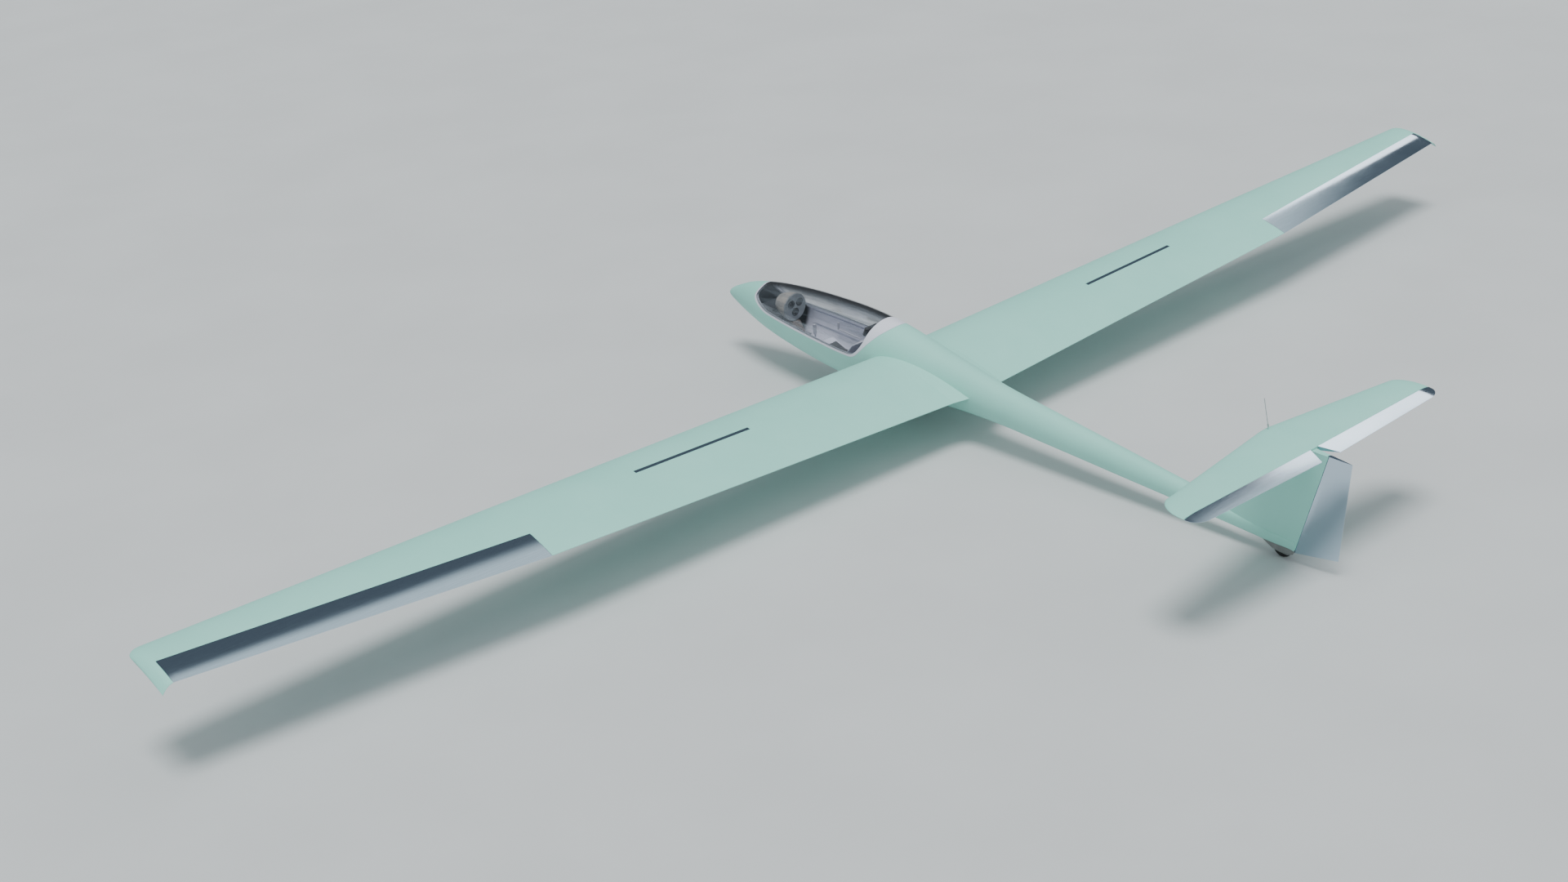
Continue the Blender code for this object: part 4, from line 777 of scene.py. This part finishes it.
# ---- what repeats ------------------------------------------------------------------------------
def ring_tree(name, head):
    """A node tree that sets small turned heads evenly round a circle."""
    tree = bpy.data.node_groups.new(name, "GeometryNodeTree")
    sizes = (("Count", "NodeSocketInt"), ("Ring Radius", "NodeSocketFloat"),
             ("Head Radius", "NodeSocketFloat"), ("Head Height", "NodeSocketFloat"))
    for label, kind in sizes:
        tree.interface.new_socket(label, in_out="INPUT", socket_type=kind)
    tree.interface.new_socket("Geometry", in_out="OUTPUT", socket_type="NodeSocketGeometry")
    new, link = tree.nodes.new, tree.links.new
    given, result = new("NodeGroupInput"), new("NodeGroupOutput")
    circle, cone, stand = new("GeometryNodeMeshCircle"), new("GeometryNodeMeshCone"), new(
        "GeometryNodeInstanceOnPoints")
    cone.inputs["Vertices"].default_value = head
    flat = new("ShaderNodeMath")
    flat.operation, flat.inputs[1].default_value = "MULTIPLY", 0.78
    real, look = new("GeometryNodeRealizeInstances"), new("GeometryNodeSetMaterial")
    look.inputs["Material"].default_value = STEEL
    link(given.outputs["Count"], circle.inputs["Vertices"])
    link(given.outputs["Ring Radius"], circle.inputs["Radius"])
    link(given.outputs["Head Radius"], cone.inputs["Radius Bottom"])
    link(given.outputs["Head Radius"], flat.inputs[0])
    link(flat.outputs[0], cone.inputs["Radius Top"])
    link(given.outputs["Head Height"], cone.inputs["Depth"])
    link(circle.outputs["Mesh"], stand.inputs["Points"])
    link(cone.outputs["Mesh"], stand.inputs["Instance"])
    link(stand.outputs["Instances"], real.inputs["Geometry"])
    link(real.outputs["Geometry"], look.inputs["Geometry"])
    link(look.outputs["Geometry"], result.inputs["Geometry"])
    return tree


SCREWS = ring_tree("screw_ring", 12)
TICKS = ring_tree("bolt_ring", 6)


def ring_of(name, tree, count, radius, head, height, place):
    """An evaluated ring of heads, moved by place from the xy plane."""
    obj = bpy.data.objects.new(name, bpy.data.meshes.new(name))
    bpy.context.scene.collection.objects.link(obj)
    modifier = obj.modifiers.new("ring", "NODES")
    modifier.node_group = tree
    values = {"Count": count, "Ring Radius": radius, "Head Radius": head, "Head Height": height}
    for item in tree.interface.items_tree:
        if item.in_out == "INPUT":
            modifier[item.identifier] = values[item.name]
    settle(obj)
    obj.data.transform(place)
    return obj


FACING_AFT = Matrix.Rotation(-math.pi / 2, 4, "X")
TO_PORT = Matrix.Rotation(math.pi / 2, 4, "Y")

py, pz, pr = PANEL
GAUGES = (("airspeed_indicator", -0.052, 0.045), ("altimeter", 0.052, 0.045),
          ("variometer", 0.0, -0.045))
parts = [ring_of("rim_screws", SCREWS, 16, pr - 0.009, 0.0032, 0.0030,
                 Matrix.Translation((0, py + 0.0068, pz)) @ FACING_AFT)]
for name, gx, gz in GAUGES:
    at = Matrix.Translation((gx, py + 0.0065, pz + gz)) @ FACING_AFT
    parts.append(ring_of(name + "_screws", SCREWS, 4, 0.0440, 0.0024, 0.0026,
                         at @ Matrix.Rotation(math.pi / 4, 4, "Z")))
piece(join("panel_screws", parts), "airframe", slot="steel")

for (name, gx, gz), swing in zip(GAUGES, (2.3, 0.7, 1.57)):
    face_y = py + 0.0102
    profile = [(0.034, 0.0), (0.0385, 0.0), (0.0395, 0.0022), (0.0385, 0.0045), (0.0352, 0.0046),
               (0.0340, 0.0030)]
    rings = [[(gx + r * math.cos(a), face_y + h, pz + gz + r * math.sin(a)) for r, h in profile]
             for a in (2 * math.pi * k / 48 for k in range(48))]
    bezel = loft(name + "_bezel", rings, DARK, closed=True)
    dial = rod(name + "_face", [(gx, face_y - 0.0002, pz + gz), (gx, face_y + 0.0010, pz + gz)],
               (0.0345, 0.0345), DIAL, 48)
    parts = [bezel, dial]
    for k in range(24):
        a = 2 * math.pi * (k / 24)
        long = 0.0070 if k % 3 == 0 else 0.0035
        tick = box("tick", (-0.0006, 0.0, 0.0310 - long), (0.0006, 0.0005, 0.0310), MARKS)
        tick.data.transform(Matrix.Translation((gx, face_y + 0.0011, pz + gz))
                            @ Matrix.Rotation(a, 4, "Y"))
        parts.append(tick)
    needle = prism("needle", ((0.0, -0.006), (0.0006, -0.006), (0.0006, 0.026), (0.0, 0.026)),
                   -0.0010, 0.0010, MARKS)
    needle.data.transform(Matrix.Translation((gx, face_y + 0.0018, pz + gz))
                          @ Matrix.Rotation(swing, 4, "Y"))
    knob = rod("knob", [(gx, face_y, pz + gz), (gx, face_y + 0.0034, pz + gz)], (0.0035, 0.0030),
               DARK, 20)
    piece(join(name + "_dial", [*parts, needle, knob]), "airframe", slot="instrument_grey")

bolts = [ring_of(f"bolts_{side}", TICKS, 6, 0.040, 0.0050, 0.0060,
                 Matrix.Translation((side * 0.0115, *MAIN_AXLE)) @ TO_PORT) for side in (1, -1)]
piece(join("hub_bolts", bolts), "main_wheel", slot="steel")


# ---- upholstery --------------------------------------------------------------------------------
def upholstered(node, name, look, slot, shrink, cap, voxel=0.006):
    """A pad from its solid: drawn in a little, remeshed, blown up as cloth, its movement capped."""
    bm = bmesh.new()
    bm.from_mesh(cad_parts[node].data)
    bmesh.ops.remove_doubles(bm, verts=bm.verts, dist=0.00005)
    bmesh.ops.recalc_face_normals(bm, faces=bm.faces)
    centre = sum((v.co for v in bm.verts), Vector()) / len(bm.verts)
    for v in bm.verts:
        away = v.co - centre
        v.co -= Vector(math.copysign(min(abs(c), shrink), c) for c in away)
    bmesh.ops.bevel(bm, geom=bm.edges[:], offset=0.008, segments=2, affect="EDGES", profile=0.6)
    mesh = bpy.data.meshes.new(name)
    bm.to_mesh(mesh)
    bm.free()
    obj = bpy.data.objects.new(name, mesh)
    bpy.context.scene.collection.objects.link(obj)
    remesh = obj.modifiers.new("even", "REMESH")
    remesh.mode, remesh.voxel_size = "VOXEL", voxel
    settle(obj)
    start = [v.co.copy() for v in obj.data.vertices]
    cloth_sim = obj.modifiers.new("blown", "CLOTH")
    cloth_sim.settings.use_pressure = True
    cloth_sim.settings.uniform_pressure_force = 4.0
    cloth_sim.settings.effector_weights.gravity = 0.0
    cloth_sim.point_cache.frame_start, cloth_sim.point_cache.frame_end = 1, 20
    for step in range(1, 21):
        bpy.context.scene.frame_set(step)
    settle(obj)
    bpy.context.scene.frame_set(1)
    for v, was in zip(obj.data.vertices, start):
        moved = v.co - was
        if moved.length > cap:
            v.co = was + moved * (cap / moved.length)
    smooth = obj.modifiers.new("smooth", "SUBSURF")
    smooth.levels = smooth.render_levels = 1
    obj.data.materials.clear()
    obj.data.materials.append(look)
    piece(obj, "airframe", node, slot=slot, angle=80.0, standing=False)
    return obj


upholstered("seat_cushion", "seat_pad", SEAT_CLOTH, "cushion_grey", 0.008, 0.009)
upholstered("back_cushion", "back_pad", PALE_CLOTH, "pale_fabric", 0.007, 0.008)
upholstered("headrest", "head_pad", SEAT_CLOTH, "cushion_grey", 0.006, 0.008)

# ---- finishes of the pieces carried over -------------------------------------------------------
CARRIED = {
    STEEL: ("canopy_hinge_front", "canopy_hinge_rear", "main_pin", "total_energy_probe",
            "main_wheel_hub", "tail_wheel_hub", "tail_axle", "gear_swing_arm", "gear_frame",
            "tow_hook", "stick_base", "rudder_pedal_left", "rudder_pedal_right"),
    POLISHED: ("airbrake_blade_left", "airbrake_blade_right", "airbrake_lever"),
    MINT: ("gear_door_left", "gear_door_right"),
    GREY: ("tail_wheel_fairing",),
    CABIN: ("seat_shell", "main_bulkhead", "rear_shelf", "cockpit_floor", "side_liner_left",
            "side_liner_right"),
    PANEL_GREY: ("instrument_panel", "airspeed_indicator", "altimeter", "variometer"),
    BROWN: ("instrument_pedestal",),
    BEIGE: ("instrument_hood",),
    DARK: ("front_deck", "trim_knob"),
    LEVER_GREY: ("gear_lever", "control_stick", "canopy_latch_handle"),
    CARBON: ("wing_spar_left", "wing_spar_right"),
    YELLOW: ("tow_release_knob",),
}
for look, names in CARRIED.items():
    for name in names:
        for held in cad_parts[name].material_slots:
            held.link = "OBJECT"
            held.material = look

# ---- floor, light and camera -------------------------------------------------------------------
bm = bmesh.new()
bmesh.ops.create_grid(bm, x_segments=1, y_segments=1, size=60.0)
ground = Graph("floor_pale")
ground.feed("Base Color", colour_mix(ground, ground.noise(0.6, 4.0).step(0.3, 0.7),
                                     (0.60, 0.61, 0.62), (0.63, 0.64, 0.65)))
ground.feed("Roughness", ground.noise(3.0) * 0.1 + 0.6)
floor = mesh_object("floor", bm, ground.material)

DARK_SCREEN, BRIGHT_SIDE = (0.10, 0.12, 0.14), (0.78, 0.87, 0.88)
world = bpy.data.worlds.new("studio")
bpy.context.scene.world = world
world.use_nodes = True
new, link = world.node_tree.nodes.new, world.node_tree.links.new
back = world.node_tree.nodes["Background"]
where, cloud, ramp = new("ShaderNodeTexCoord"), new("ShaderNodeTexNoise"), new("ShaderNodeValToRGB")
apart, side, aft, both = (new("ShaderNodeSeparateXYZ"), new("ShaderNodeMapRange"),
                          new("ShaderNodeMapRange"), new("ShaderNodeMath"))
wobble = new("ShaderNodeMath")
cloud.inputs["Scale"].default_value = 4.0
wobble.operation, wobble.inputs[1].default_value = "MULTIPLY_ADD", 0.10
both.operation = "MULTIPLY"
# The studio's bright side starts at these two edges; ahead of them hangs a dark screen.
for edge, low, high in ((side, -0.775, -0.745), (aft, -0.36, -0.27)):
    edge.interpolation_type = "SMOOTHSTEP"
    edge.inputs["From Min"].default_value, edge.inputs["From Max"].default_value = low, high
link(where.outputs["Generated"], apart.inputs[0])
link(where.outputs["Generated"], cloud.inputs["Vector"])
link(apart.outputs["X"], side.inputs["Value"])
link(cloud.outputs[0], wobble.inputs[0])
link(apart.outputs["Y"], wobble.inputs[2])
link(wobble.outputs[0], aft.inputs["Value"])
link(side.outputs[0], both.inputs[0])
link(aft.outputs[0], both.inputs[1])
link(both.outputs[0], ramp.inputs[0])
link(ramp.outputs[0], back.inputs["Color"])
for element, colour in zip(ramp.color_ramp.elements, (DARK_SCREEN, BRIGHT_SIDE)):
    element.color = (*colour, 1.0)
back.inputs["Strength"].default_value = 1.0

for name, towards, energy, angle in (("key", (0.10, 0.10, 0.98), 2.4, 0.40),
                                     ("glint", (-0.75, -0.345, 0.53), 0.03, 0.12)):
    sun = bpy.data.lights.new(name, "SUN")
    sun.energy, sun.angle = energy, angle
    lamp = bpy.data.objects.new(name, sun)
    lamp.rotation_euler = Vector(towards).to_track_quat("Z", "Y").to_euler()
    bpy.context.scene.collection.objects.link(lamp)

CAMERA_AT = (11.990, 14.562, 8.371)
CAMERA_TURNS = (139.060, 28.039, -1.364)  # heading from aft to starboard, dip and roll, degrees
camera_data = bpy.data.cameras.new("camera")
camera_data.lens, camera_data.sensor_width = 48.34, 36.0
camera_data.clip_end = 200.0
camera = bpy.data.objects.new("camera", camera_data)
bpy.context.scene.collection.objects.link(camera)
heading, dip, roll = (math.radians(turn) for turn in CAMERA_TURNS)
camera.matrix_world = (STANDING @ Matrix.Translation(CAMERA_AT)
                       @ Matrix.Rotation(heading, 4, "Z")
                       @ Matrix.Rotation(math.pi / 2 - dip, 4, "X")
                       @ Matrix.Rotation(roll, 4, "Z"))
bpy.context.scene.camera = camera
